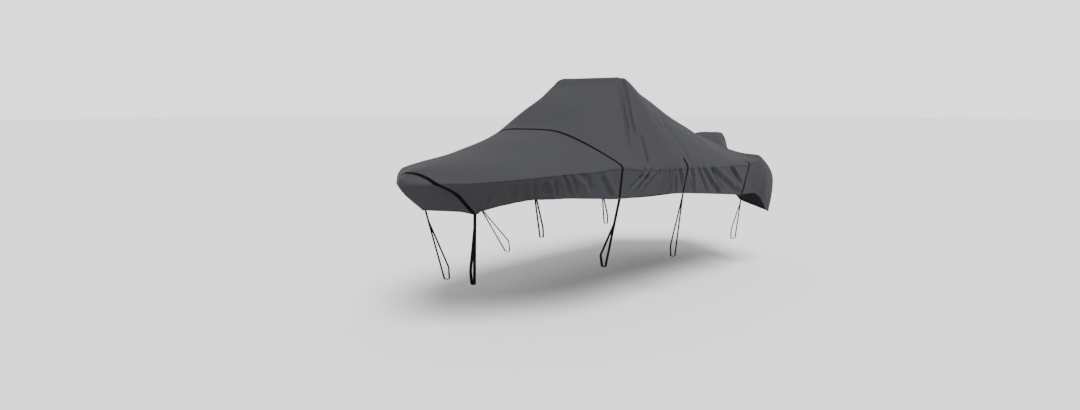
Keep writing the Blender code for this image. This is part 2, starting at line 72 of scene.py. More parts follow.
# Stations from the motor hood to the nose. ahead: the rim's place ahead of the console bar; ridge_ahead: the
# same on the centre line; half: half breadth at the rim; rim, ridge: their heights above the ground; flat:
# half width of the level middle; fall, sag: how the section bends from the middle down to the rim; hem_ahead,
# hem_half, hem: place, half breadth and height of the hem; flare: how early the skirt reaches the hem's
# breadth; belly: its outward bow.
STATION_COLUMNS = (
    "ahead", "ridge_ahead", "half", "rim", "ridge", "flat", "fall", "sag",
    "hem_ahead", "hem_half", "hem", "flare", "belly",
)
STATIONS = np.array([
    (-2.88, -2.88, 0.000, 1.360, 1.370, 0.020, 2.00, 1.0, -2.92, 0.000, 0.800, 1.00, 0.000),
    (-2.84, -2.84, 0.120, 1.370, 1.460, 0.050, 2.20, 1.0, -2.90, 0.160, 0.800, 1.00, 0.000),
    (-2.74, -2.74, 0.220, 1.375, 1.575, 0.100, 2.40, 1.0, -2.82, 0.300, 0.800, 1.00, 0.000),
    (-2.64, -2.64, 0.270, 1.380, 1.628, 0.130, 2.60, 1.0, -2.73, 0.380, 0.790, 1.00, 0.000),
    (-2.51, -2.51, 0.330, 1.380, 1.630, 0.130, 2.00, 1.0, -2.62, 0.450, 0.780, 1.00, 0.000),
    (-2.38, -2.38, 0.450, 1.380, 1.600, 0.140, 1.80, 1.3, -2.51, 0.570, 0.760, 1.00, 0.010),
    (-2.31, -2.31, 0.620, 1.386, 1.590, 0.140, 1.30, 2.0, -2.44, 0.740, 0.730, 1.00, 0.020),
    (-2.26, -2.26, 0.780, 1.386, 1.575, 0.140, 1.20, 2.4, -2.35, 0.885, 0.710, 1.00, 0.025),
    (-2.19, -2.19, 0.890, 1.385, 1.575, 0.140, 1.20, 2.4, -2.245, 1.01, 0.700, 1.00, 0.045),
    (-2.06, -2.06, 0.955, 1.356, 1.600, 0.120, 1.20, 2.0, -2.08, 1.010, 0.808, 1.00, 0.045),
    (-1.97, -1.97, 0.969, 1.340, 1.628, 0.110, 1.25, 1.7, -1.965, 1.000, 0.912, 1.00, 0.035),
    (-1.86, -1.86, 0.980, 1.330, 1.658, 0.100, 1.30, 1.5, -1.83, 0.985, 0.958, 1.00, 0.020),
    (-1.72, -1.72, 0.988, 1.322, 1.682, 0.100, 1.34, 1.3, -1.555, 0.975, 0.966, 0.00, 0.000),
    (-1.06, -1.06, 1.005, 1.335, 1.896, 0.140, 1.40, 1.0, -1.06, 0.980, 1.013, 0.00, 0.000),
    (-0.56, -0.56, 1.010, 1.355, 2.060, 0.240, 1.37, 1.0, -0.56, 0.980, 1.064, 0.00, 0.000),
    (-0.26, -0.26, 1.010, 1.370, 2.159, 0.300, 1.28, 1.0, -0.21, 0.980, 1.099, 0.00, 0.000),
    (-0.06, -0.06, 1.010, 1.378, 2.240, 0.355, 1.21, 1.0, -0.04, 0.980, 1.112, 0.00, 0.000),
    (0.055, 0.055, 1.005, 1.382, 2.259, 0.385, 1.20, 1.0, 0.070, 0.975, 1.120, 0.00, 0.000),
    (0.190, 0.190, 1.003, 1.388, 2.178, 0.362, 1.25, 1.0, 0.190, 0.970, 1.127, 0.00, 0.000),
    (0.540, 0.540, 1.000, 1.400, 1.992, 0.230, 1.50, 1.0, 0.540, 0.965, 1.135, 0.00, 0.000),
    (0.940, 0.940, 0.985, 1.445, 1.748, 0.180, 1.30, 1.0, 0.940, 0.952, 1.148, 0.00, 0.000),
    (1.340, 1.340, 0.950, 1.420, 1.652, 0.030, 1.70, 1.0, 1.310, 0.900, 1.180, 0.00, 0.000),
    (1.740, 1.740, 0.880, 1.416, 1.556, 0.030, 1.70, 1.0, 1.640, 0.820, 1.203, 0.00, 0.000),
    (1.945, 1.960, 0.795, 1.404, 1.527, 0.020, 1.70, 1.0, 1.800, 0.700, 1.203, 0.00, 0.000),
    (2.160, 2.200, 0.610, 1.382, 1.500, 0.020, 1.70, 1.0, 1.950, 0.535, 1.168, 0.00, 0.000),
    (2.340, 2.410, 0.418, 1.364, 1.477, 0.020, 1.80, 1.0, 2.050, 0.390, 1.122, 0.06, 0.003),
    (2.425, 2.495, 0.322, 1.360, 1.459, 0.020, 1.80, 1.0, 2.085, 0.345, 1.105, 0.20, 0.004),
    (2.490, 2.562, 0.243, 1.356, 1.436, 0.020, 1.80, 1.0, 2.120, 0.305, 1.078, 0.30, 0.004),
    (2.540, 2.588, 0.187, 1.353, 1.424, 0.020, 1.90, 1.0, 2.200, 0.240, 1.103, 0.10, 0.004),
    (2.585, 2.615, 0.135, 1.356, 1.412, 0.020, 2.00, 1.0, 2.285, 0.165, 1.112, -0.10, 0.010),
    (2.665, 2.665, 0.000, 1.352, 1.392, 0.010, 2.00, 1.0, 2.420, 0.000, 1.122, -0.17, 0.010),
])
NOSE = 2.665
STERN = -2.880
MID_SEAM = 0.940  # where the bow panel is sewn to the console panel, under the mid strap
HOOD_SEAM = -2.380  # where the motor hood is sewn to the console panel
CORNER_SEAM = -2.060  # where a side skirt is sewn to the transom panel

# How far in from the rim the cloth starts to turn over it: a tight bend forward, and a loose one from the mid
# strap to the stern. The bend reaches below the rim by a share of that.
RIM_BEND = np.array((
    (-2.88, 0.040), (-1.90, 0.060), (-0.30, 0.055), (0.54, 0.055), (0.86, 0.070), (0.98, 0.070),
    (1.15, 0.030), (1.40, 0.020), (2.30, 0.018), (2.49, 0.028), (2.60, 0.045), (2.67, 0.050),
))
BEND_DROP = 0.35
BEND_SHARE = 0.12  # it takes up no more than this share of a narrow half section
FLARE_END = 0.45  # share of the skirt's depth at which a flared skirt has reached the hem's breadth

# To starboard the cloth lies lopsided over the fore deck and over the motor's head: by how much the level
# middle is wider there, at which place, and the length over which that fades.
LOPSIDED = ((0.22, 0.90, 0.48), (-0.08, -2.55, 0.22))
# How softly the level middle turns down, as a share of the slope: everywhere, and more around one place.
SOFT_TURN = 0.03
SOFTER_TURN = (0.14, 0.94, 0.25)
MOST_LEVEL = 0.9  # share of the half breadth that the level middle takes up at most

# Folds of the top and of the skirt: a trough and a ridge side by side, along a line through a few places.
# width: half width of the trough; ridge: its height as a share of the depth, aft of the trough where it is
# negative; mirror: how deep the twin to starboard is, as a share; places: each ahead of the bar, and as a
# share of the way to the rim or of the skirt's depth.
TOP_FOLDS = (
    # width  depth  ridge  mirror  places
    (0.021, 0.052, 0.4, 0.9, ((0.070, 0.36), (0.110, 0.42), (0.160, 0.48), (0.220, 0.55),
        (0.290, 0.62), (0.365, 0.71))),
    (0.018, 0.034, 0.5, 0.8, ((0.135, 0.38), (0.205, 0.46), (0.300, 0.55), (0.390, 0.64),
        (0.475, 0.71), (0.580, 0.82))),
    (0.019, 0.054, 0.3, 0.8, ((0.290, 0.73), (0.340, 0.79), (0.400, 0.86), (0.460, 0.92))),
    (0.018, 0.009, 0.4, 0.9, ((0.270, 0.89), (0.343, 0.97))),
    (0.034, 0.011, 0.4, 0.7, ((-0.240, 0.70), (-0.263, 0.80), (-0.300, 0.88), (-0.267, 0.96))),
    (0.028, 0.010, 0.5, 0.8, ((-0.450, 0.45), (-0.340, 0.57), (-0.210, 0.71))),
    (0.016, 0.012, -0.5, 0.8, ((-0.135, 0.63), (-0.145, 0.75))),
    (0.036, 0.009, -0.5, 0.8, ((-0.490, 0.58), (-0.790, 0.54), (-1.450, 0.46))),
    (0.022, 0.009, -0.7, 0.9, ((-0.420, 0.84), (-0.330, 0.94), (-0.295, 1.00))),
    (0.026, 0.009, -0.6, 0.9, ((-2.030, 0.22), (-2.050, 0.40), (-2.130, 0.56))),
    (0.024, 0.011, 0.5, 0.9, ((-2.180, 0.22), (-2.270, 0.42))),
)
SKIRT_FOLDS = (
    # width  depth  ridge  mirror  places
    (0.022, 0.009, -0.6, 1.0, ((2.515, 0.40), (2.530, 0.62), (2.530, 0.88))),
    (0.016, 0.011, -0.7, 1.0, ((2.442, 0.90), (2.380, 0.73), (2.317, 0.50))),
    (0.016, 0.011, -0.7, 0.9, ((2.360, 0.84), (2.304, 0.69), (2.258, 0.50))),
    (0.020, 0.011, 0.6, 0.9, ((2.314, 0.80), (2.258, 0.60), (2.215, 0.40))),
    (0.014, 0.007, -0.6, 0.9, ((2.318, 0.90), (2.245, 0.72))),
    (0.032, 0.020, 0.6, 0.9, ((2.103, 0.15), (2.129, 0.72))),
    (0.026, 0.020, 0.6, 1.0, ((2.027, 0.20), (2.044, 0.88))),
    (0.018, 0.018, 0.6, 0.8, ((1.951, 0.22), (1.971, 0.95))),
    (0.022, 0.015, 0.5, 0.9, ((1.895, 0.28), (1.902, 0.75))),
    (0.022, 0.020, -0.6, 0.8, ((1.829, 0.26), (1.823, 0.75))),
    (0.020, 0.018, 0.5, 0.9, ((1.790, 0.32), (1.777, 0.92))),
    (0.022, 0.017, 0.7, 0.8, ((1.701, 0.04), (1.661, 0.43), (1.641, 0.85))),
    (0.022, 0.017, 0.8, 0.9, ((1.618, 0.08), (1.569, 0.48), (1.529, 0.87))),
    (0.032, 0.018, 0.6, 0.8, ((1.520, 0.08), (1.411, 0.38), (1.351, 0.78))),
    (0.028, 0.017, -0.7, 0.8, ((1.206, 0.18), (1.117, 0.59), (1.028, 0.90))),
    (0.016, 0.015, 0.5, 0.9, ((0.575, 0.02), (0.640, 0.28))),
    (0.018, 0.015, 0.6, 0.9, ((0.455, 0.01), (0.561, 0.26))),
    (0.018, 0.015, -0.7, 0.8, ((0.535, 0.02), (0.620, 0.34), (0.788, 0.80))),
    (0.018, 0.015, -0.7, 0.9, ((0.405, 0.04), (0.521, 0.33), (0.666, 0.82))),
    (0.016, 0.011, -0.7, 0.8, ((0.340, 0.25), (0.442, 0.47), (0.560, 0.80))),
    (0.018, 0.011, 0.5, 0.9, ((0.346, 0.03), (0.330, 0.30))),
    (0.018, 0.009, 0.5, 0.8, ((0.280, 0.48), (0.254, 0.92))),
    (0.024, 0.014, 0.6, 0.8, ((0.175, 0.05), (0.158, 0.29), (0.155, 0.66))),
    (0.020, 0.016, 0.6, 0.9, ((0.076, 0.10), (0.086, 0.49), (0.095, 0.90))),
    (0.014, 0.010, -0.5, 0.8, ((0.053, 0.58), (0.046, 0.92))),
    (0.014, 0.014, -0.6, 0.9, ((-0.010, 0.33), (-0.055, 0.92))),
    (0.020, 0.018, -0.6, 0.9, ((-0.056, 0.03), (-0.112, 0.32), (-0.170, 0.65))),
    (0.022, 0.014, -0.7, 0.9, ((-0.290, 0.00), (-0.372, 0.40), (-0.435, 0.94))),
    (0.022, 0.014, 0.5, 0.9, ((-0.290, 0.52), (-0.346, 0.92))),
    (0.020, 0.013, -0.7, 0.8, ((-0.440, 0.03), (-0.530, 0.36), (-0.626, 0.67), (-0.715, 0.92))),
    (0.024, 0.016, -0.8, 1.0, ((-0.545, 0.00), (-0.656, 0.30), (-0.791, 0.62), (-1.005, 0.94))),
    (0.026, 0.018, 0.4, 0.9, ((-0.721, 0.10), (-0.827, 0.48), (-1.025, 0.85))),
    (0.030, 0.020, -0.7, 0.9, ((-0.760, 0.07), (-1.021, 0.41), (-1.377, 0.74), (-1.660, 0.84))),
    (0.024, 0.019, 0.5, 0.9, ((-1.156, 0.12), (-1.407, 0.43), (-1.657, 0.70))),
    (0.020, 0.015, -0.7, 0.8, ((-1.265, 0.12), (-1.509, 0.47), (-1.680, 0.70))),
    (0.018, 0.009, 0.5, 0.9, ((-1.829, 0.72), (-1.773, 0.88))),
    (0.040, 0.012, -0.5, 0.9, ((-1.960, 0.22), (-1.875, 0.47), (-1.815, 0.75))),
)
FOLD_PAST = 0.20  # a fold runs past both ends of its line by this share of its length
FOLD_FADE = 0.35  # share of its length over which it fades out there
FOLD_APART = 0.85  # how far the trough and the ridge lie from the line, in half widths
SKIRT_FOLD_START = 0.06  # share of the skirt's depth over which its folds grow to their depth

# Small gathers of the skirt, by place ahead of the bar: how they lean, in metres towards the stern for each
# metre down, and how far they stand out at the hem.
GATHER_LEAN = np.array((
    (-2.88, 0.0), (-2.10, 0.1), (-1.70, -0.5), (-1.55, 0.9), (-0.60, 0.9), (-0.25, 0.2),
    (0.20, 0.0), (0.50, -0.9), (0.90, -0.3), (1.20, 0.0), (2.00, 0.0), (2.67, 0.0),
))
GATHER_HEIGHT = np.array((
    (-2.88, 0.002), (-2.20, 0.005), (-1.80, 0.002), (-1.00, 0.002), (0.00, 0.002),
    (0.94, 0.0015), (1.30, 0.002), (2.05, 0.002), (2.30, 0.0015), (2.67, 0.001),
))
GATHER_AT_RIM = 0.15  # share of that height which they have at the rim
STARBOARD_SHIFT = 0.37  # how far ahead the gathers to starboard lie of those to port
# Slack of the top: its height, and two waves whose product it is, each as radians per metre ahead, radians
# for the way to the rim, and a phase.
SLACK = (
    (0.0016, (7.1, 3.3, 0.7), (-1.7, 6.1, 0.3)),
    (0.0010, (15.3, -8.9, 0.0), (3.1, 5.0, 1.0)),
)
# A strap presses the cloth down under it and lifts it beside it: depth or height, distance and half width.
GRIP_UNDER = (-0.0012, 0.0, 0.016)
GRIP_BESIDE = (0.0022, 0.036, 0.016)
GRIP_REACH = 0.035  # within about this distance of a strap the gathers and the slack are held flat

# Straps by the place where they cross the rim, and the place of their loops: where the rail's outer face is
# ahead of the bar and out from the centre line. over: the strap goes over the deck from side to side. neck:
# length over which the two layers of a loop lie flat together.
Strap = namedtuple("Strap", ("name", "rim_ahead", "rail_ahead", "rail_out", "rail_turn", "over", "neck"))
RAIL_TURN = math.radians(19.1)  # the rails close in towards the bow
STRAPS = (
    Strap("bow", 2.490, 2.013, 0.182, RAIL_TURN, True, 0.120),
    Strap("mid", 0.940, 0.697, 0.638, RAIL_TURN, True, 0.280),
    Strap("rear", -0.210, -0.189, 0.889, 0.0, False, 0.030),
    Strap("stern", -1.720, -1.540, 0.912, 0.0, False, 0.100),
)
SIDES = {"port": 1, "starboard": -1}
ACROSS = np.array((-1.0, -0.94, -0.5, 0.0, 0.5, 0.94, 1.0))  # places across a webbing, in half widths
LAYER_GAP = 0.0001  # half the gap between the two layers of a loop's neck
LOOP_CORNER = 0.012  # radius of a loop's corners
LOOP_STEP = 0.02  # distance between the vertices along a loop

# Rows of a half section: 0 to 1 is the top, 1 to 2 the bend over the rim, and 2 to 3 the skirt to the hem.
BEND_ROWS = (1.0, 1.15, 1.3, 1.43, 1.57, 1.7, 1.85, 2.0)
# Rows of the top's turned edge and of the skirt under it, in metres below the bend, and those above the hem.
EDGE_ROWS = np.array((0.0015, 0.003, 0.006, 0.009))
LAP_ROWS = np.array((0.003, 0.006, 0.009, 0.012, 0.016, 0.021))
HEM_ROWS = np.array((0.034, 0.029, 0.025, 0.022, 0.019, 0.014, 0.010, 0.0065, 0.0035, 0.0015, 0.0))
# The cloth turned up inside the hem: the hem row behind which a row lies, metres past it, metres out of it.
HEM_RETURN = (
    (10, 0.0010, -0.0018), (10, 0.0013, -0.0038), (8, 0.0, -0.0056), (6, 0.0, -0.0052),
    (4, 0.0, -0.0033), (3, 0.0, -0.0026), (2, 0.0, -0.0024),
)
SEAM_ROWS = (0.003, 0.006, 0.009, 0.014, 0.022)  # metres from a seam to the extra lines on both sides of it
SEAM_CLEAR = 0.006  # no other line lies closer than this to one of them
RUN_ROWS = (1.5, 2.9)  # rows at the rim and near the hem, along which the lines are evenly spaced
RUN_POINTS = 1500
TOP_WIDTH = 1.35  # of a half section, for the number of its rows
TOP_CROWDING = 0.85  # power that sets the rows of the top closer together towards the rim
SKIRT_DEPTH = 0.40  # for the number of a skirt's rows
SKIRT_STEP = 0.68  # distance between the lines of a skirt, as a share of the mesh step
STRAP_TOP_ROWS = np.linspace(0, 1, 60)[:-1]
STRAP_SKIRT_ROWS = np.linspace(2, 3, 22)[1:]
CREASED = (-0.19, 0.50)  # stretch beside the console where the creases are sharp
CREASED_LINES = 2.0  # how closely its lines lie, and how closely all others do
OTHER_LINES = 0.86

LAP = 0.009  # how far a panel's turned edge laps over the next one, or over the skirt
UNDER_LAP = 0.012  # how far the next one goes on under it
UNDER = 0.0016  # how far the lapped cloth lies below the upper one
UNDER_END = 0.006  # how far from the upper one's seam it has come up half way, and how softly
UNDER_SOFT = 0.0012
RIM_TUCK = 0.005  # how much further down a skirt comes up from under the top's edge
FOLDED = 0.0008  # how far a folded layer of cloth stands out
THREAD = 0.0009  # thickness of the sewing thread
EDGE_WIDTH = 0.0125  # width of a turned edge
EDGE_STITCHES = (0.004, 0.010)  # its lines of stitches, by their distance from the edge
EDGE_GROOVE = 0.0004  # how deep they draw the cloth in
HEM_WIDTH = 0.0255
HEM_STITCHES = 0.022
HEM_GROOVE = 0.0005
HEM_CORD_AT = 0.0065  # the cord's place above the hem, and its half width
HEM_CORD_HALF = 0.0055

CLOTH_THREADS = 0.0012  # distance between threads, twice the real one so that they show in a near view
STITCH_SPACING = 0.0045  # from one stitch to the next, and the share of it that is thread
STITCH_SHARE = 0.78
HERRINGBONE = 0.00625  # width over which the webbing's ribs lean one way
RIBS = 0.0022  # distance between them
WEBBING_THREADS = 0.0016  # distance between the threads along it
WAVE = 2 * math.pi / 20  # a Wave texture's bands are this far apart at a scale of 1

STEP = 0.004  # distance over which directions on the surface are measured
FAR = 9.0  # further than any distance on the cover
INSIDE = -1.4  # height of a point inside the cover, in the part's own frame

FRAME_WIDTH = 1080  # pixels
FOCAL_LENGTH = 763.1  # pixels
SENSOR_WIDTH = 36.0  # millimetres
CAMERA_PLACE = (6.6195, 4.6998, -0.2727)
CAMERA_TURN = tuple(math.radians(turn) for turn in (90.0 - 7.50, 0.0, 90.0 + 39.40))  # tilt, roll, heading
SUN_PLACE = (2.6, 3.1, 4.9)  # the direction that the light comes from
SUN_POWER = 7.0
SUN_SPREAD = math.radians(32.0)
FLOOR_RADIUS = 120.0


def linear(hex_colour):
    """An sRGB hex colour as the linear red, green, blue and alpha that shaders take."""
    values = [int(hex_colour[k:k + 2], 16) / 255 for k in (1, 3, 5)]
    return (*[v / 12.92 if v <= 0.04045 else ((v + 0.055) / 1.055) ** 2.4 for v in values], 1.0)


def length(name, description, default, least):
    return FloatProperty(name=name, description=description, default=default, min=least, unit="LENGTH")


def share_of_own(name, description):
    return FloatProperty(name=name, description=description, default=1.0, min=0.0, subtype="FACTOR")


def colour(name, description, hex_colour):
    return FloatVectorProperty(
        name=name, description=description, default=linear(hex_colour), size=4, subtype="COLOR"
    )


class CoverSizes(bpy.types.PropertyGroup):
    """Sizes of the cloth and its webbing that don't change the cover's outline."""

    mesh_step: length("Mesh step", "Distance between the vertices of a panel", 0.0165, 0.008)
    cloth: length("Cloth", "Thickness of the coated cloth", 0.0010, 0.0003)
    webbing: length("Webbing", "Thickness of the webbing", 0.0014, 0.0005)
    webbing_width: length("Webbing width", "Width of the webbing", 0.028, 0.010)
    hem_cord: length("Hem cord", "How far the cord in the hem stands out", 0.0024, 0.0)
    fold: share_of_own("Folds", "Depth of the folds, as a share of their own")
    gather: share_of_own("Gathers", "Depth of the small gathers, as a share of their own")


class CoverColours(bpy.types.PropertyGroup):
    """Colours of the cloth, its thread and the webbing."""

    cloth: colour("Cloth", "Main colour of the cloth", "#2A2A2D")
    cloth_cool: colour("Cloth, cool", "Bluish cast that drifts over the cloth", "#292A31")
    # The dark cloth colour also gives the painted shade along the lowest centimetre of the hem.
    cloth_dark: colour("Cloth, dark", "Shade between the threads", "#212224")
    thread: colour("Thread", "Sewing thread", "#141518")
    webbing: colour("Webbing", "Main colour of the webbing", "#010102")
    webbing_light: colour("Webbing, light", "Top of the webbing's ribs", "#050607")


# ---------------------------------------------------------------- the surface


def height(above_ground):
    """A height above the ground in the part's own frame."""
    return above_ground - BAR_HEIGHT + SOLID_CLOTH


def swell(x, most, place, reach):
    """A smooth swell along x, most at its place and faded over its reach."""
    return most * np.exp(-(((x - place) / reach) ** 2))


def ledge(x, tall, place, soft):
    """A smooth step along x from its height down to zero at its place."""
    return tall / (1 + np.exp((x - place) / soft))


def curve(x, xs, ys):
    """The smooth curve through a table's points that has no humps of its own between them."""
    steps = np.diff(xs)
    slopes = np.diff(ys) / steps
    tangents = np.zeros(len(xs))
    rises = slopes[:-1] * slopes[1:] > 0
    before, after = slopes[:-1][rises], slopes[1:][rises]
    tangents[1:-1][rises] = 2 * before * after / (before + after)
    tangents[0] = slopes[0]
    tangents[-1] = slopes[-1]
    x = np.clip(x, xs[0], xs[-1])
    i = np.clip(np.searchsorted(xs, x) - 1, 0, len(xs) - 2)
    t = (x - xs[i]) / steps[i]
    start = ys[i] * (1 + 2 * t) * (1 - t) ** 2 + tangents[i] * steps[i] * t * (1 - t) ** 2
    end = ys[i + 1] * t**2 * (3 - 2 * t) + tangents[i + 1] * steps[i] * t**2 * (t - 1)
    return start + end


def station(name, ahead):
    """One column of the stations, at any places ahead of the bar."""
    return curve(ahead, STATIONS[:, 0], STATIONS[:, STATION_COLUMNS.index(name)])


def at_place(table, ahead):
    """The value of a table of places and values, at any places ahead of the bar."""
    return np.interp(ahead, table[:, 0], table[:, 1])


def unit(vectors):
    """The vectors at a length of one."""
    return vectors / np.maximum(np.linalg.norm(vectors, axis=-1, keepdims=True), 1e-9)


def turning(start, corner, end, t):
    """A smooth turn from start to end as t goes from 0 to 1, towards a corner between them."""
    return start * (1 - t) ** 2 + corner * 2 * t * (1 - t) + end * t**2


def fold_depth(table, ahead, share, reach, side, scale):
    """How deep a table's folds are together at the places, where share 1 is reach metres across."""
    total = np.zeros(np.broadcast(ahead, share).shape)
    across = share * reach
    for width, depth, ridge, mirror, places in table:
        near = np.full(total.shape, FAR)
        run = np.zeros(total.shape)
        signed = np.zeros(total.shape)
        legs = len(places) - 1
        for leg in range(legs):
            (a0, s0), (a1, s1) = places[leg], places[leg + 1]
            dx, dy = a1 - a0, (s1 - s0) * reach
            px, py = ahead - a0, across - s0 * reach
            low = -FOLD_PAST * legs if leg == 0 else 0.0
            high = 1 + FOLD_PAST * legs if leg == legs - 1 else 1.0
            t = np.clip((px * dx + py * dy) / (dx * dx + dy * dy), low, high)
            gap = np.hypot(px - dx * t, py - dy * t)
            closer = gap < near
            near = np.where(closer, gap, near)
            run = np.where(closer, (leg + t) / legs, run)
            signed = np.where(closer, np.sign(px * dy - py * dx) * gap, signed)
        ends = np.clip((0.5 + FOLD_PAST - np.abs(run - 0.5)) / FOLD_FADE, 0, 1)
        ends = ends * ends * (3 - 2 * ends)
        beside = math.copysign(FOLD_APART * width, ridge)
        shape = swell(signed, 1.0, -beside, width) - swell(signed, abs(ridge), beside, width)
        total += depth * scale * (1.0 if side > 0 else mirror) * ends * shape
    return total


def rim_point(ahead, side):
    return np.stack((ahead, side * station("half", ahead), height(station("rim", ahead))), axis=-1)


def outward(ahead, side):
    """The level direction that points out of the rim."""
    along = rim_point(np.minimum(ahead + STEP, NOSE), side) - rim_point(np.maximum(ahead - STEP, STERN), side)
    return unit(np.stack((-along[..., 1], along[..., 0], np.zeros(np.shape(ahead))), axis=-1) * side)


def top_point(ahead, share, side, scale):
    """A point of the top, share of the way from the centre line to the rim, before the rim's bend."""
    half = station("half", ahead)
    level = station("flat", ahead)
    if side < 0:
        level = level + sum(swell(ahead, *wider) for wider in LOPSIDED)
    level = np.minimum(level / np.maximum(half, 0.001), MOST_LEVEL)
    soft = SOFT_TURN + swell(ahead, *SOFTER_TURN)
    slope = 1 - level
    turns = (-level / slope, (share - level) / slope, 1.0)
    start, past, end = (value + np.sqrt(value**2 + soft**2) for value in turns)
    past = (past - start) / (end - start)
    crown = np.maximum(1 - np.maximum(past, 0) ** station("fall", ahead), 0) ** station("sag", ahead)
    rim = station("rim", ahead)
    z = height(rim + (station("ridge", ahead) - rim) * crown)
    z = z - fold_depth(TOP_FOLDS, ahead, share, half, side, scale)
    ridge_ahead = station("ridge_ahead", ahead)
    return np.stack((ridge_ahead + (ahead - ridge_ahead) * share, side * share * half, z), axis=-1)


def skirt_point(ahead, down, side, scale):
    """A point of the skirt, down as a share of its depth below the rim."""
    rim = rim_point(ahead, side)
    hem_half = side * station("hem_half", ahead)
    hem = np.stack((station("hem_ahead", ahead), hem_half, height(station("hem", ahead))), axis=-1)
    early = np.minimum(down / FLARE_END, 1)
    level = down + station("flare", ahead) * (early * (2 - early) - down)
    point = rim + (hem - rim) * np.stack((level, level, down), axis=-1)
    depth = rim[..., 2] - hem[..., 2]
    folds = fold_depth(SKIRT_FOLDS, ahead, down, depth, side, scale) * np.minimum(down / SKIRT_FOLD_START, 1)
    bow = station("belly", ahead) * np.sin(math.pi * down) - folds
    return point + outward(ahead, side) * bow[..., None]


def skirt_length(ahead):
    """The skirt's depth below the rim's bend."""
    return station("rim", ahead) - station("hem", ahead) - BEND_DROP * at_place(RIM_BEND, ahead)


def cloth_point(ahead, row, side, scale=1.0):
    """A point of the cover's outer side, where row goes from the centre line over the rim to the hem."""
    ahead, row = np.broadcast_arrays(np.asarray(ahead, float), np.asarray(row, float))
    bend = at_place(RIM_BEND, ahead)
    top_end = 1 - bend / np.maximum(station("half", ahead), bend / BEND_SHARE)
    skirt_start = BEND_DROP * bend / (station("rim", ahead) - station("hem", ahead))
    top = top_point(ahead, np.clip(row, 0, 1) * top_end, side, scale)
    skirt = skirt_point(ahead, skirt_start + np.clip(row - 2, 0, 1) * (1 - skirt_start), side, scale)
    t = np.clip(row - 1, 0, 1)[..., None]
    before = top_point(ahead, top_end, side, scale)
    after = skirt_point(ahead, skirt_start, side, scale)
    turn = turning(before, rim_point(ahead, side), after, t)
    row = row[..., None]
    return np.where(row <= 1, top, np.where(row < 2, turn, skirt))


def wave(run, tall, turns, phase):
    return tall * np.sin(run * turns + phase)


def ripple(run):
    """Uneven waves about a hand's width apart, from -1 to 1. The tallest of them drift."""
    drift = wave(run, 1.3, 9.7, 0.4)
    return wave(run, 0.5, 67.0, drift) + wave(run, 0.3, 43.0, 1.9) + wave(run, 0.2, 108.0, 0.6)


def slack(ahead, across):
    """How far the top stands out where the cloth is a little loose."""
    total = np.zeros(np.broadcast(ahead, across).shape)
    for tall, *waves in SLACK:
        swing = tall
        for fore, out, phase in waves:
            swing = swing * np.sin(ahead * fore + across * out + phase)
        total += swing
    return total


def strap_gap(ahead, row):
    """Level distance from the nearest strap that lies on that part of the cloth."""
    gap = np.full(np.broadcast(ahead, row).shape, FAR)
    for strap in STRAPS:
        there = np.abs(ahead - strap.rim_ahead)
        gap = np.minimum(gap, there if strap.over else np.where(row >= 1.0, there, FAR))
    return gap


def small_folds(ahead, row, side, gather):
    """How far the skirt's gathers, the top's slack and the straps' grip stand out of the main shape."""
    down = np.clip(row - 2, 0, 1)
    run = ahead + at_place(GATHER_LEAN, ahead) * down * skirt_length(ahead)
    if side < 0:
        run = run + STARBOARD_SHIFT
    growth = GATHER_AT_RIM * np.clip(row - 1, 0, 1) + (1 - GATHER_AT_RIM) * down**0.8
    out = gather * at_place(GATHER_HEIGHT, ahead) * ripple(run) * growth
    # The slack ends in the last quarter before the rim, and a third of a metre behind the nose.
    loose = np.clip((1 - row) * 4, 0, 1) * np.minimum((NOSE - ahead) * 3, 1)
    out = out + slack(ahead, row * side) * loose
    gap = strap_gap(ahead, row)
    free = 1 - swell(gap, 1.0, 0.0, GRIP_REACH)
    return out * free + swell(gap, *GRIP_UNDER) + swell(gap, *GRIP_BESIDE)


def places(start, end, step):
    """Places ahead of the bar from start to end, evenly spaced along the cloth, but closer at the creases."""
    fine = np.linspace(start, end, RUN_POINTS)
    legs = [np.linalg.norm(np.diff(cloth_point(fine, row, 1, 0.0), axis=0), axis=1) for row in RUN_ROWS]
    creased = (fine[1:] > CREASED[0]) & (fine[1:] < CREASED[1])
    leg = np.mean(legs, axis=0) * np.where(creased, CREASED_LINES, OTHER_LINES)
    run = np.concatenate(([0.0], np.cumsum(leg)))
    count = max(2, math.ceil(run[-1] / step) + 1)
    return np.interp(np.linspace(0, run[-1], count), run, fine)


def with_edges(values, *edges):
    """The values with a few more close to each seam, so that its turned edge has a shape of its own."""
    extra = [edge + off * sign for edge in edges for off in SEAM_ROWS for sign in (1, -1)]
    low, high = min(values), max(values)
    kept = [v for v in values if all(abs(v - e) > SEAM_CLEAR for e in extra) or v in (low, high)]
    kept += [e for e in extra if low < e < high]
    return np.array(sorted(kept))


def normals_away(grid, inside):
    """Unit normals of a grid of points, on the side away from a point inside."""
    normals = unit(np.cross(np.gradient(grid, axis=0), np.gradient(grid, axis=1)))
    return normals if np.sum((grid - inside) * normals) > 0 else -normals


def arc(grid, axis):
    """Distance along the grid's lines, from their start."""
    legs = np.linalg.norm(np.diff(grid, axis=axis), axis=-1)
    start = np.zeros_like(np.take(legs, [0], axis=axis))
    return np.concatenate((start, np.cumsum(legs, axis=axis)), axis=axis)


# ---------------------------------------------------------------- meshes


def linked(name, data):
    """An object of the data, in the scene."""
    made = bpy.data.objects.new(name, data)
    bpy.context.scene.collection.objects.link(made)
    return made


def mesh_object(name, shape):
    """An object with the shape as its mesh, in the scene."""
    mesh = bpy.data.meshes.new(name)
    shape.to_mesh(mesh)
    shape.free()
    return linked(name, mesh)


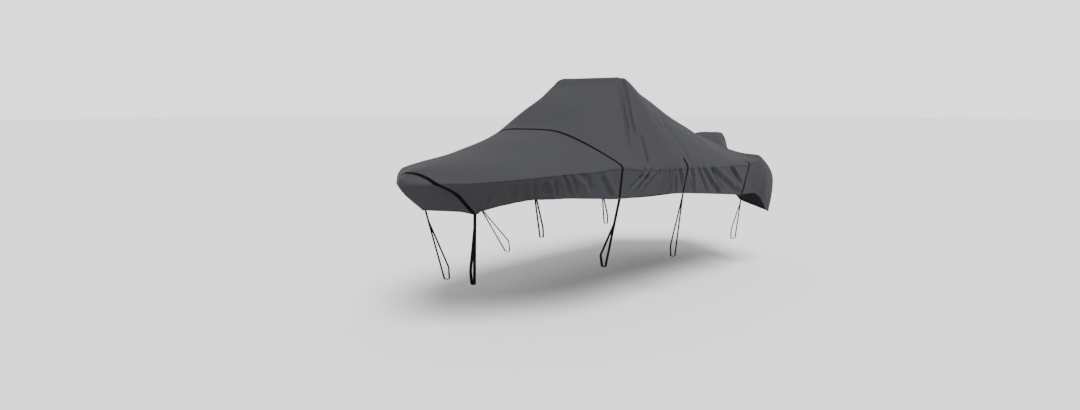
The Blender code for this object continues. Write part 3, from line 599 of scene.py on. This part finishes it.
def sheet_mesh(name, grid, along, across, hem_distance, seam_distance, closed_ends=()):
    """An object from a grid of points, with its cloth UV in metres and its distance from the sewn edges."""
    n, m = grid.shape[:2]
    shape = bmesh.new()
    bmesh.ops.create_grid(shape, x_segments=n - 1, y_segments=m - 1, size=0.5)
    shape.verts.ensure_lookup_table()
    cells = [(round((v.co.x + 0.5) * (n - 1)), round((v.co.y + 0.5) * (m - 1))) for v in shape.verts]
    uv = shape.loops.layers.uv.new("cloth")
    hem_layer = shape.verts.layers.float.new("hem_distance")
    seam_layer = shape.verts.layers.float.new("seam_distance")
    for vert, (i, j) in zip(shape.verts, cells):
        vert.co = grid[i, j]
        vert[hem_layer] = hem_distance[i, j]
        vert[seam_layer] = seam_distance[i, j]
        for loop in vert.link_loops:
            loop[uv].uv = (along[i, j], across[i, j])
    ends = [v for v, (i, j) in zip(shape.verts, cells) if i in closed_ends]
    if ends:
        bmesh.ops.remove_doubles(shape, verts=ends, dist=0.00005)
    # Along the shorter diagonals, so that a crease that runs across the grid has smooth sides.
    bmesh.ops.triangulate(shape, faces=shape.faces, quad_method="SHORT_EDGE")
    piece = mesh_object(name, shape)
    piece.data.shade_smooth()
    return piece


def face_out(piece, inside):
    """Turns the faces of a sheet so that they point away from a point inside."""
    mesh = piece.data
    votes = sum((face.center - Vector(inside)).dot(face.normal) * face.area for face in mesh.polygons)
    if votes < 0:
        mesh.flip_normals()


def finish_sheet(piece, node, material, thickness, **flat):
    """Gives a sheet its thickness inwards and its material, and puts it in for its node."""
    solid = piece.modifiers.new("Thickness", "SOLIDIFY")
    solid.thickness = thickness
    solid.offset = -1
    solid.use_even_offset = False
    solid.use_rim = True
    piece.data.materials.append(material)
    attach(piece, "root")
    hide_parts(node)


def turned_edge(distance):
    """How far a turned and sewn edge stands out, at a distance from it."""
    grooves = sum(swell(distance, EDGE_GROOVE, line, THREAD) for line in EDGE_STITCHES)
    return ledge(distance, FOLDED, EDGE_WIDTH, THREAD) - grooves


def tuck(distance):
    """How far below its own place the cloth lies at a distance past the edge that laps over it."""
    return -ledge(distance, UNDER, UNDER_END, UNDER_SOFT)


def seam_shape(place, seams):
    """How far the cloth stands out near its seams, given as (place, lap, sign), and the distance to them."""
    detail = np.zeros(place.shape)
    nearest = np.ones(place.shape)
    for seam, lap, sign in seams:
        if lap == "over":
            distance = np.maximum(sign * (seam + sign * LAP - place), 0)
            nearest = np.minimum(nearest, distance)
            detail = detail + turned_edge(distance)
        elif lap == "under":
            detail = detail + tuck(sign * (seam - place))
    return detail, nearest


def closed_lines(aheads):
    """The first or last line of a sheet where it lies at the nose or the stern, on the centre line."""
    return [i for i in (0, len(aheads) - 1) if aheads[i] in (NOSE, STERN)]


def over_ridge(halves):
    """Both halves of a panel in one, from the port edge over the ridge to the starboard edge."""
    port, starboard = halves
    ridge = (port[:, :1] + starboard[:, :1]) / 2
    return np.concatenate((port[:, :0:-1], ridge, starboard[:, 1:]), axis=1)


def top_panel(name, start, end, laps, sizes):
    """A panel that goes over the deck from rim to rim. laps says how its ends lie on the next panels."""
    reach = {"over": LAP, "under": UNDER_LAP, None: 0.0}
    seams = ((end, laps["fore"], 1), (start, laps["aft"], -1))
    aheads = places(start - reach[laps["aft"]], end + reach[laps["fore"]], sizes.mesh_step)
    aheads = with_edges(aheads, *[seam for seam, lap, _ in seams if lap])
    place = aheads[:, None]
    top_rows = np.linspace(0, 1, math.ceil(TOP_WIDTH / sizes.mesh_step))[:-1] ** TOP_CROWDING
    rows = np.tile(np.concatenate((top_rows, BEND_ROWS)), (len(aheads), 1))
    rows = np.concatenate((rows, 2 + EDGE_ROWS / skirt_length(place)), axis=1)
    halves = [cloth_point(place, rows, side, sizes.fold) for side in (1, -1)]
    details = [small_folds(place, rows, side, sizes.gather) for side in (1, -1)]
    closed = closed_lines(aheads)
    for i in closed:
        halves[0][i, :, 1] = 0
        halves[1][i] = halves[0][i]
        details[0][i] = details[1][i] = 0
    grid = over_ridge(halves)
    normals = normals_away(grid, (np.mean(aheads), 0, INSIDE))
    for i in closed:
        shared = normals[i] + normals[i, ::-1] * np.array((1, -1, 1))
        shared[:, 1] = 0
        normals[i] = unit(shared)
    edge = arc(grid, 1)
    hem_distance = np.minimum(edge, edge[:, -1:] - edge)
    seam_detail, seam_distance = seam_shape(np.broadcast_to(place, edge.shape), seams)
    detail = over_ridge(details) + turned_edge(hem_distance) + seam_detail
    grid = grid + normals * detail[..., None]
    ridge_at = grid.shape[1] // 2
    along = np.broadcast_to(arc(grid, 0)[:, [ridge_at]], edge.shape)
    across = edge - edge[:, [ridge_at]]
    piece = sheet_mesh(name, grid, along, across, hem_distance, seam_distance, closed)
    face_out(piece, (np.mean(aheads), 0, INSIDE))
    return piece


def skirt_stretch(aheads, side, seams, sizes):
    """A stretch of skirt: its points, how far the cloth stands out of them, and its distance from seams."""
    place = aheads[:, None]
    deep = skirt_length(place)
    hem_rows = 3 - HEM_ROWS / deep
    lap_rows = 2 + LAP_ROWS / deep
    span = np.linspace(0, 1, math.ceil(SKIRT_DEPTH / sizes.mesh_step))[1:-1]
    middle_rows = lap_rows[:, -1:] + (hem_rows[:, :1] - lap_rows[:, -1:]) * span
    bend_rows = np.tile(BEND_ROWS, (len(aheads), 1))
    rows = np.concatenate((bend_rows, lap_rows, middle_rows, hem_rows), axis=1)
    grid = cloth_point(place, rows, side, sizes.fold)
    detail = small_folds(place, rows, side, sizes.gather)
    for i in closed_lines(aheads):
        grid[i, :, 1] = 0
        detail[i] = 0
    seam_detail, seam_distance = seam_shape(np.broadcast_to(place, rows.shape), seams)
    return grid, detail + seam_detail, seam_distance


def hem_shape(distance, cord):
    """How far the hem stands out with the cord in it, at a distance above its edge."""
    folded = ledge(distance, FOLDED, HEM_WIDTH, THREAD) - swell(distance, HEM_GROOVE, HEM_STITCHES, THREAD)
    return folded + swell(distance, cord, HEM_CORD_AT, HEM_CORD_HALF)


def skirt_piece(name, stretches, seams, inside, sizes):
    """A skirt from one stretch of the rim, or two that share a line. seams are (place, lap, sign)."""
    made = [skirt_stretch(aheads, side, seams, sizes) for aheads, side in stretches]
    parts = [np.concatenate([kind[0], *[more[1:] for more in kind[1:]]]) for kind in zip(*made)]
    grid, detail, seam_distance = parts
    normals = normals_away(grid, (np.mean(grid[..., 0]), 0, INSIDE))
    for i in (0, -1):
        if np.all(np.abs(grid[i, :, 1]) < 1e-9):
            normals[i, :, 1] = 0
            normals[i] = unit(normals[i])
    edge = arc(grid, 1)
    above_hem = edge[:, -1:] - edge
    below_rim = edge - edge[:, [len(BEND_ROWS) - 1]]
    detail = detail + tuck(below_rim - RIM_TUCK) + hem_shape(above_hem, sizes.hem_cord)
    outer = grid + normals * detail[..., None]
    hem_at = outer.shape[1] - len(HEM_ROWS)
    last = unit(outer[:, -1] - outer[:, -2])
    gathers = detail[:, [hem_at - 1]]  # above the hem's own thickness
    back, back_distance = [], []
    for row, past, out in HEM_RETURN:
        k = hem_at + row
        back.append(grid[:, k] + last * past + normals[:, k] * (gathers + out))
        back_distance.append(above_hem[:, k])
    outer = np.concatenate((outer, np.stack(back, axis=1)), axis=1)
    # Shifted so that its two lines of stitches lie 22 and 28 mm above the hem.
    hem_distance = np.concatenate((above_hem, np.stack(back_distance, axis=1)), axis=1)
    hem_distance = hem_distance - (HEM_STITCHES - EDGE_STITCHES[0])
    pad = np.repeat(seam_distance[:, -1:], len(HEM_RETURN), axis=1)
    seam_distance = np.concatenate((seam_distance, pad), axis=1)
    along = np.broadcast_to(arc(outer, 0)[:, [len(BEND_ROWS) // 2]], hem_distance.shape)
    piece = sheet_mesh(name, outer, along, arc(outer, 1), hem_distance, seam_distance)
    face_out(piece, inside)
    return piece


def strap_rows(ahead, rows, side, offsets, sizes):
    """Points across a strap: for each row, at each offset from the strap's middle."""
    rows = np.asarray(rows, float)
    middle = cloth_point(ahead, rows, side, sizes.fold)
    fore = cloth_point(ahead + STEP, rows, side, sizes.fold)
    across = (fore - middle) / STEP
    along = unit(np.gradient(middle, axis=0))
    square = across - along * np.sum(across * along, axis=1, keepdims=True)
    scale = 1 / np.linalg.norm(square, axis=1)
    return np.stack([cloth_point(ahead + off * scale, rows, side, sizes.fold) for off in offsets], axis=1)


def webbing_piece(name, node, grid, inside, sizes, material):
    """A band of webbing from the points of its outer side, length by width, that faces away from inside."""
    width = arc(grid, 1)
    run = np.broadcast_to(arc(grid, 0)[:, [len(ACROSS) // 2]], width.shape)
    far = np.ones(width.shape)
    piece = sheet_mesh(name, grid, run, width, far, far)
    face_out(piece, inside)
    flat = (round(sizes.webbing_width, 4), round(float(run[-1, 0]), 3))
    finish_sheet(piece, node, material, sizes.webbing, flat=flat, held="stretched")


def make_strap(name, node, parts, ahead, sizes, material):
    """A strap on the cloth. parts are its side and rows, or two of them for one that goes over the deck."""
    offsets = ACROSS * sizes.webbing_width / 2
    grids = [strap_rows(ahead, rows, side, offsets, sizes) for side, rows in parts]
    grid = grids[0]
    if len(grids) == 2:
        grid = np.concatenate((grid[:-1], (grid[-1:] + grids[1][:1]) / 2, grids[1][1:]))
    inside = np.array((ahead, 0, INSIDE))
    crown = 1 - 0.25 * np.abs(ACROSS) ** 6  # a quarter thinner at its edges
    grid = grid + normals_away(grid, inside) * (GAP + sizes.webbing * crown[None, :, None])
    webbing_piece(name, node, grid, inside, sizes, material)


def rounded(path, radius, steps=5):
    """An open path in a plane with its inner corners rounded."""
    made = [path[0]]
    for before, here, after in zip(path, path[1:], path[2:]):
        a, b = (before - here), (after - here)
        cut_a, cut_b = min(radius, a.length * 0.45), min(radius, b.length * 0.45)
        start, end = here + a.normalized() * cut_a, here + b.normalized() * cut_b
        made += [turning(start, here, end, k / steps) for k in range(steps + 1)]
    made.append(path[-1])
    return made


def resampled(path, step):
    """Points along a path no further than a step apart, keeping its own points."""
    made = [path[0]]
    for a, b in zip(path, path[1:]):
        count = max(1, math.ceil((b - a).length / step))
        made += [a.lerp(b, k / count) for k in range(1, count + 1)]
    return made


def make_loop(node, strap, side, sizes, material):
    """The loop under a strap: two layers, flat together below the hem, that part to go round the rail."""
    turn = strap.rail_turn
    along = Vector((math.cos(turn), -side * math.sin(turn), 0))
    out = Vector((math.sin(turn), side * math.cos(turn), 0))
    rail = Vector((strap.rail_ahead, side * strap.rail_out, height(RAIL_BOTTOM)))
    strap_end = Vector(strap_rows(strap.rim_ahead, [2.98, 3.0], side, [0.0], sizes)[-1, 0])
    strap_end += Vector(outward(np.array(strap.rim_ahead), side)) * (GAP + sizes.webbing / 2)
    strap_end.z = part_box(node)[1].z
    neck = strap_end - rail
    lean = neck.dot(along) / neck.z
    room = RAIL_PLAY + SOLID_WEBBING / 2
    apex = Vector((neck.dot(out), neck.z))
    layer = Vector((sizes.webbing / 2 + LAYER_GAP, 0))
    low = Vector((room, -room))
    parting = apex + (low - apex).normalized() * strap.neck
    path = [
        apex - layer,
        parting - layer,
        Vector((-RAIL_WIDTH - room, RAIL_HEIGHT + room)),
        Vector((-RAIL_WIDTH - room, -room)),
        low,
        parting + layer,
        apex + layer,
    ]
    path = resampled(rounded(path, LOOP_CORNER), LOOP_STEP)
    middle = [rail + out * q + along * (lean * z) + Vector((0, 0, z)) for q, z in path]
    grid = np.array(middle)[:, None] + np.array(along) * (ACROSS * sizes.webbing_width / 2)[:, None]
    inside = np.array(rail - out * (RAIL_WIDTH / 2) + Vector((0, 0, RAIL_HEIGHT)))
    grid = grid + normals_away(grid, inside) * sizes.webbing / 2
    webbing_piece(node.replace("_loop", "_webbing_loop"), node, grid, inside, sizes, material)


# ---------------------------------------------------------------- materials


def fill(tree, node, inputs):
    """Sets inputs of a node, each as a value or as a socket to link."""
    for socket, value in inputs.items():
        if isinstance(value, bpy.types.NodeSocket):
            tree.links.new(value, node.inputs[socket])
        else:
            node.inputs[socket].default_value = value


def add(tree, kind, inputs, output, **settings):
    """Adds one node with its settings and its inputs, and gives one of its outputs."""
    node = tree.nodes.new(kind)
    for name, value in settings.items():
        setattr(node, name, value)
    fill(tree, node, inputs)
    return node.outputs[output]


def calc(tree, operation, *values, **settings):
    return add(tree, "ShaderNodeMath", dict(enumerate(values)), 0, operation=operation, **settings)


def mapped(tree, value, start, end, low, high):
    """A value that goes from start to end, mapped to go from low to high."""
    inputs = {"Value": value, "From Min": start, "From Max": end, "To Min": low, "To Max": high}
    return add(tree, "ShaderNodeMapRange", inputs, 0)


def noise(tree, vector, scale, detail, roughness=0.5):
    inputs = {"Vector": vector, "Scale": scale, "Detail": detail, "Roughness": roughness}
    return add(tree, "ShaderNodeTexNoise", inputs, "Fac")


def bands(tree, vector, spacing, direction):
    """Smooth bands this far apart along a direction of the vector."""
    inputs = {"Vector": vector, "Scale": WAVE / spacing}
    return add(tree, "ShaderNodeTexWave", inputs, "Fac", bands_direction=direction)


def mixed(tree, factor, first, second):
    """A colour between two, each given as a socket or as a colour setting."""
    colours = [each if isinstance(each, bpy.types.NodeSocket) else tuple(each) for each in (first, second)]
    inputs = {"Factor": factor, "A": colours[0], "B": colours[1]}
    return add(tree, "ShaderNodeMix", inputs, "Result", data_type="RGBA")


def bumped(tree, bump, strength, distance, **below):
    """A normal with a bump on it, on top of another normal where one is given."""
    inputs = {"Height": bump, "Strength": strength, "Distance": distance, **below}
    return add(tree, "ShaderNodeBump", inputs, "Normal")


def new_material(name):
    """An empty material, its node tree and its shader."""
    material = bpy.data.materials.new(name)
    material.use_nodes = True
    tree = material.node_tree
    return material, tree, tree.nodes["Principled BSDF"]


def coated_polyester(name, colours):
    """Solution-dyed polyester in plain weave with a coating: matt, a little uneven in tone, faintly shiny."""
    material, tree, shader = new_material(name)
    uv = add(tree, "ShaderNodeUVMap", {}, "UV", uv_map="cloth")
    place = add(tree, "ShaderNodeTexCoord", {}, "Object")
    warp, weft = [bands(tree, uv, 2 * CLOTH_THREADS, direction) for direction in "XY"]
    crossed = calc(tree, "SUBTRACT", calc(tree, "MULTIPLY", warp, weft), calc(tree, "MAXIMUM", warp, weft))
    weave = calc(tree, "ADD", crossed, 1.0)
    # Slubs of a few centimetres, and a cast that drifts over half a metre.
    slub = noise(tree, uv, 46.0, 3.0)
    cast = mapped(tree, noise(tree, place, 1.9, 2.0), 0.42, 0.66, 0.0, 0.75)
    base = mixed(tree, cast, colours.cloth, colours.cloth_cool)
    shade = mapped(tree, slub, 0.3, 0.75, 0.30, 0.0)
    threads = calc(tree, "MULTIPLY_ADD", weave, -0.22, 0.20)
    # Painted shade: the lowest centimetre of the hem is darker, standing in for the shadow under the
    # turned-up hem.
    hem = add(tree, "ShaderNodeAttribute", {}, "Fac", attribute_name="hem_distance")
    painted_hem_shade = mapped(tree, hem, -0.010, -0.004, 1.6, 0.0)
    cloth = mixed(tree, calc(tree, "ADD", calc(tree, "ADD", shade, threads), painted_hem_shade), base, colours.cloth_dark)
    lines = []
    for attribute, axis in (("hem_distance", "X"), ("seam_distance", "Y")):
        distance = add(tree, "ShaderNodeAttribute", {}, "Fac", attribute_name=attribute)
        rows = [calc(tree, "COMPARE", distance, line, THREAD / 2) for line in EDGE_STITCHES]
        run = add(tree, "ShaderNodeSeparateXYZ", {"Vector": uv}, axis)
        dash = calc(tree, "FRACT", calc(tree, "MULTIPLY", run, 1 / STITCH_SPACING))
        on = calc(tree, "LESS_THAN", dash, STITCH_SHARE)
        lines.append(calc(tree, "MULTIPLY", calc(tree, "ADD", *rows, use_clamp=True), on))
    stitch = calc(tree, "MAXIMUM", *lines)
    crinkled = bumped(tree, noise(tree, uv, 13.0, 4.0, 0.45), 0.30, 0.006)
    woven = bumped(tree, weave, 0.35, 0.0003, Normal=crinkled)
    fill(tree, shader, {
        "Base Color": mixed(tree, stitch, cloth, colours.thread),
        "Roughness": mapped(tree, slub, 0.3, 0.7, 0.66, 0.80),
        "Normal": bumped(tree, stitch, 0.6, 0.0006, Normal=woven),
        "IOR": 1.5,
        "Specular IOR Level": 0.15,
        "Sheen Weight": 0.02,
        "Sheen Roughness": 0.5,
    })
    return material


def polyester_webbing(name, colours):
    """Flat polyester webbing: close ribs across it that lean into a herringbone."""
    material, tree, shader = new_material(name)
    uv = add(tree, "ShaderNodeUVMap", {}, "UV", uv_map="cloth")
    along, across = [add(tree, "ShaderNodeSeparateXYZ", {"Vector": uv}, axis) for axis in "XY"]
    zigzag = calc(tree, "PINGPONG", across, HERRINGBONE)
    lean = calc(tree, "MULTIPLY_ADD", zigzag, 0.8, along)
    rib_at = add(tree, "ShaderNodeCombineXYZ", {"X": lean}, 0)
    woven = calc(tree, "MULTIPLY", bands(tree, rib_at, RIBS, "X"), bands(tree, uv, WEBBING_THREADS, "Y"))
    fill(tree, shader, {
        "Base Color": mixed(tree, woven, colours.webbing, colours.webbing_light),
        "Normal": bumped(tree, woven, 0.6, 0.0004),
        "Roughness": 0.80,
        "IOR": 1.5,
        "Specular IOR Level": 0.06,
    })
    return material


MAKERS = {"Coated woven polyester": coated_polyester, "Black polyester webbing": polyester_webbing}


def material_of(name, context):
    """The material of a name, made once."""
    return bpy.data.materials.get(name) or MAKERS[name](name, context.scene.cover_colours)


# ---------------------------------------------------------------- operators


def finish_cloth(piece, node, context, **flat):
    """Finishes a sheet of the cover's cloth."""
    cloth = material_of("Coated woven polyester", context)
    finish_sheet(piece, node, cloth, context.scene.cover_sizes.cloth, **flat)


class COVER_OT_bow_panel(bpy.types.Operator):
    """Adds the taut cloth over the fore deck, from the nose to the seam under the mid strap"""

    bl_idname = "cover.bow_panel"
    bl_label = "Bow Panel"

    def execute(self, context):
        laps = {"fore": None, "aft": "over"}
        piece = top_panel("bow_cloth", MID_SEAM, NOSE, laps, context.scene.cover_sizes)
        finish_cloth(piece, "bow_panel", context, flat=(2.10, 1.78), area=2.75, held="stretched")
        return {"FINISHED"}


class COVER_OT_console_panel(bpy.types.Operator):
    """Adds the peaked cloth over the console and the cockpit"""

    bl_idname = "cover.console_panel"
    bl_label = "Console Panel"

    def execute(self, context):
        laps = {"fore": "under", "aft": "over"}
        piece = top_panel("console_cloth", HOOD_SEAM, MID_SEAM, laps, context.scene.cover_sizes)
        finish_cloth(piece, "console_panel", context, flat=(2.95, 3.72), area=8.42, held="draped")
        return {"FINISHED"}


class COVER_OT_motor_hood(bpy.types.Operator):
    """Adds the rounded hood over the outboard motor's head"""

    bl_idname = "cover.motor_hood"
    bl_label = "Motor Hood"

    def execute(self, context):
        laps = {"fore": "under", "aft": None}
        piece = top_panel("motor_hood_cloth", STERN, HOOD_SEAM, laps, context.scene.cover_sizes)
        finish_cloth(piece, "motor_hood", context, flat=(0.95, 0.72), area=0.49, held="draped")
        return {"FINISHED"}


class COVER_OT_skirts(bpy.types.Operator):
    """Adds the two side skirts that hang from the rim to the hem"""

    bl_idname = "cover.skirts"
    bl_label = "Side Skirts"

    def execute(self, context):
        sizes = context.scene.cover_sizes
        aheads = with_edges(places(CORNER_SEAM - LAP, NOSE, sizes.mesh_step * SKIRT_STEP), CORNER_SEAM)
        seams = [(CORNER_SEAM, "over", -1)]
        for name, side in SIDES.items():
            piece = skirt_piece(f"side_skirt_{name}", [(aheads, side)], seams, (0, 0, -1.0), sizes)
            finish_cloth(piece, f"skirt_{name}", context, flat=(0.46, 5.15), area=1.98, held="hung")
        return {"FINISHED"}


class COVER_OT_transom_panel(bpy.types.Operator):
    """Adds the deep panel round the stern, under the motor hood and round both corners"""

    bl_idname = "cover.transom_panel"
    bl_label = "Transom Panel"

    def execute(self, context):
        sizes = context.scene.cover_sizes
        fore = with_edges(places(STERN, CORNER_SEAM + UNDER_LAP, sizes.mesh_step * SKIRT_STEP), CORNER_SEAM)
        stretches = [(fore[::-1], 1), (fore, -1)]
        seams = [(CORNER_SEAM, "under", 1)]
        piece = skirt_piece("transom_cloth", stretches, seams, (-2.2, 0, -1.2), sizes)
        finish_cloth(piece, "transom_panel", context, flat=(0.76, 2.95), area=2.10, held="hung")
        return {"FINISHED"}


class COVER_OT_straps(bpy.types.Operator):
    """Adds the webbing straps: two over the deck, and short ones at the cockpit and the stern"""

    bl_idname = "cover.straps"
    bl_label = "Straps"

    def execute(self, context):
        sizes = context.scene.cover_sizes
        webbing = material_of("Black polyester webbing", context)
        down = np.concatenate((BEND_ROWS, STRAP_SKIRT_ROWS))
        over = np.concatenate((STRAP_TOP_ROWS, down))
        for strap in STRAPS:
            name, ahead = strap.name, strap.rim_ahead
            if strap.over:
                parts = [(1, over[::-1]), (-1, over)]
                make_strap(f"{name}_webbing", f"{name}_strap", parts, ahead, sizes, webbing)
                continue
            for label, side in SIDES.items():
                names = f"{name}_webbing_{label}", f"{name}_strap_{label}"
                make_strap(*names, [(side, down)], ahead, sizes, webbing)
        return {"FINISHED"}


class COVER_OT_loops(bpy.types.Operator):
    """Adds the eight webbing loops that go round the trailer's rails"""

    bl_idname = "cover.loops"
    bl_label = "Loops"

    def execute(self, context):
        webbing = material_of("Black polyester webbing", context)
        for strap in STRAPS:
            for label, side in SIDES.items():
                make_loop(f"{strap.name}_loop_{label}", strap, side, context.scene.cover_sizes, webbing)
        return {"FINISHED"}


class COVER_OT_stage(bpy.types.Operator):
    """Adds the floor, the soft light and the camera"""

    bl_idname = "cover.stage"
    bl_label = "Stage"

    def execute(self, context):
        shape = bmesh.new()
        bmesh.ops.create_circle(shape, cap_ends=True, radius=FLOOR_RADIUS, segments=96)
        bmesh.ops.translate(shape, verts=shape.verts, vec=(0, 0, height(0.0)))
        floor = mesh_object("studio_floor", shape)
        material, tree, shader = new_material("Matt white paint")
        fill(tree, shader, {"Base Color": linear("#D4D4D4"), "Roughness": 0.9})
        floor.data.materials.append(material)

        # The backdrop looks as bright as the floor, so that no horizon shows, but lights the cloth less.
        world = bpy.data.worlds.new("Studio")
        world.use_nodes = True
        tree = world.node_tree
        seen = add(tree, "ShaderNodeLightPath", {}, "Is Camera Ray")
        strength = mapped(tree, seen, 0.0, 1.0, 0.9, 1.9)
        fill(tree, tree.nodes["Background"], {"Strength": strength, "Color": (1.0, 1.0, 1.0, 1.0)})
        context.scene.world = world
        light = bpy.data.lights.new("soft_light", "SUN")
        light.energy = SUN_POWER
        light.angle = SUN_SPREAD
        lamp = linked("soft_light", light)
        lamp.matrix_world = Vector(SUN_PLACE).to_track_quat("Z", "Y").to_matrix().to_4x4()

        camera = bpy.data.cameras.new("camera")
        camera.sensor_fit = "HORIZONTAL"
        camera.sensor_width = SENSOR_WIDTH
        camera.lens = FOCAL_LENGTH / FRAME_WIDTH * SENSOR_WIDTH
        camera.clip_end = 400.0
        context.scene.camera = linked("camera", camera)
        context.scene.camera.matrix_world = Matrix.LocRotScale(CAMERA_PLACE, Euler(CAMERA_TURN), None)
        return {"FINISHED"}


class COVER_PT_pieces(bpy.types.Panel):
    """Lists the cover's sizes, colours and pieces"""

    bl_idname = "COVER_PT_pieces"
    bl_label = "Boat Cover"
    bl_space_type = "VIEW_3D"
    bl_region_type = "UI"
    bl_category = "Boat Cover"

    def draw(self, context):
        for group in (context.scene.cover_sizes, context.scene.cover_colours):
            box = self.layout.box()
            for name in group.__annotations__:
                box.prop(group, name)
        for operator in OPERATORS:
            self.layout.operator(operator.bl_idname)


OPERATORS = (
    COVER_OT_bow_panel,
    COVER_OT_console_panel,
    COVER_OT_motor_hood,
    COVER_OT_skirts,
    COVER_OT_transom_panel,
    COVER_OT_straps,
    COVER_OT_loops,
    COVER_OT_stage,
)
CLASSES = (CoverSizes, CoverColours, *OPERATORS, COVER_PT_pieces)


def register():
    for each in CLASSES:
        bpy.utils.register_class(each)
    bpy.types.Scene.cover_sizes = PointerProperty(type=CoverSizes)
    bpy.types.Scene.cover_colours = PointerProperty(type=CoverColours)


def unregister():
    del bpy.types.Scene.cover_colours
    del bpy.types.Scene.cover_sizes
    for each in reversed(CLASSES):
        bpy.utils.unregister_class(each)


def main():
    register()
    for operator in OPERATORS:
        group, name = operator.bl_idname.split(".")
        getattr(getattr(bpy.ops, group), name)()


if __name__ == "__main__":
    main()
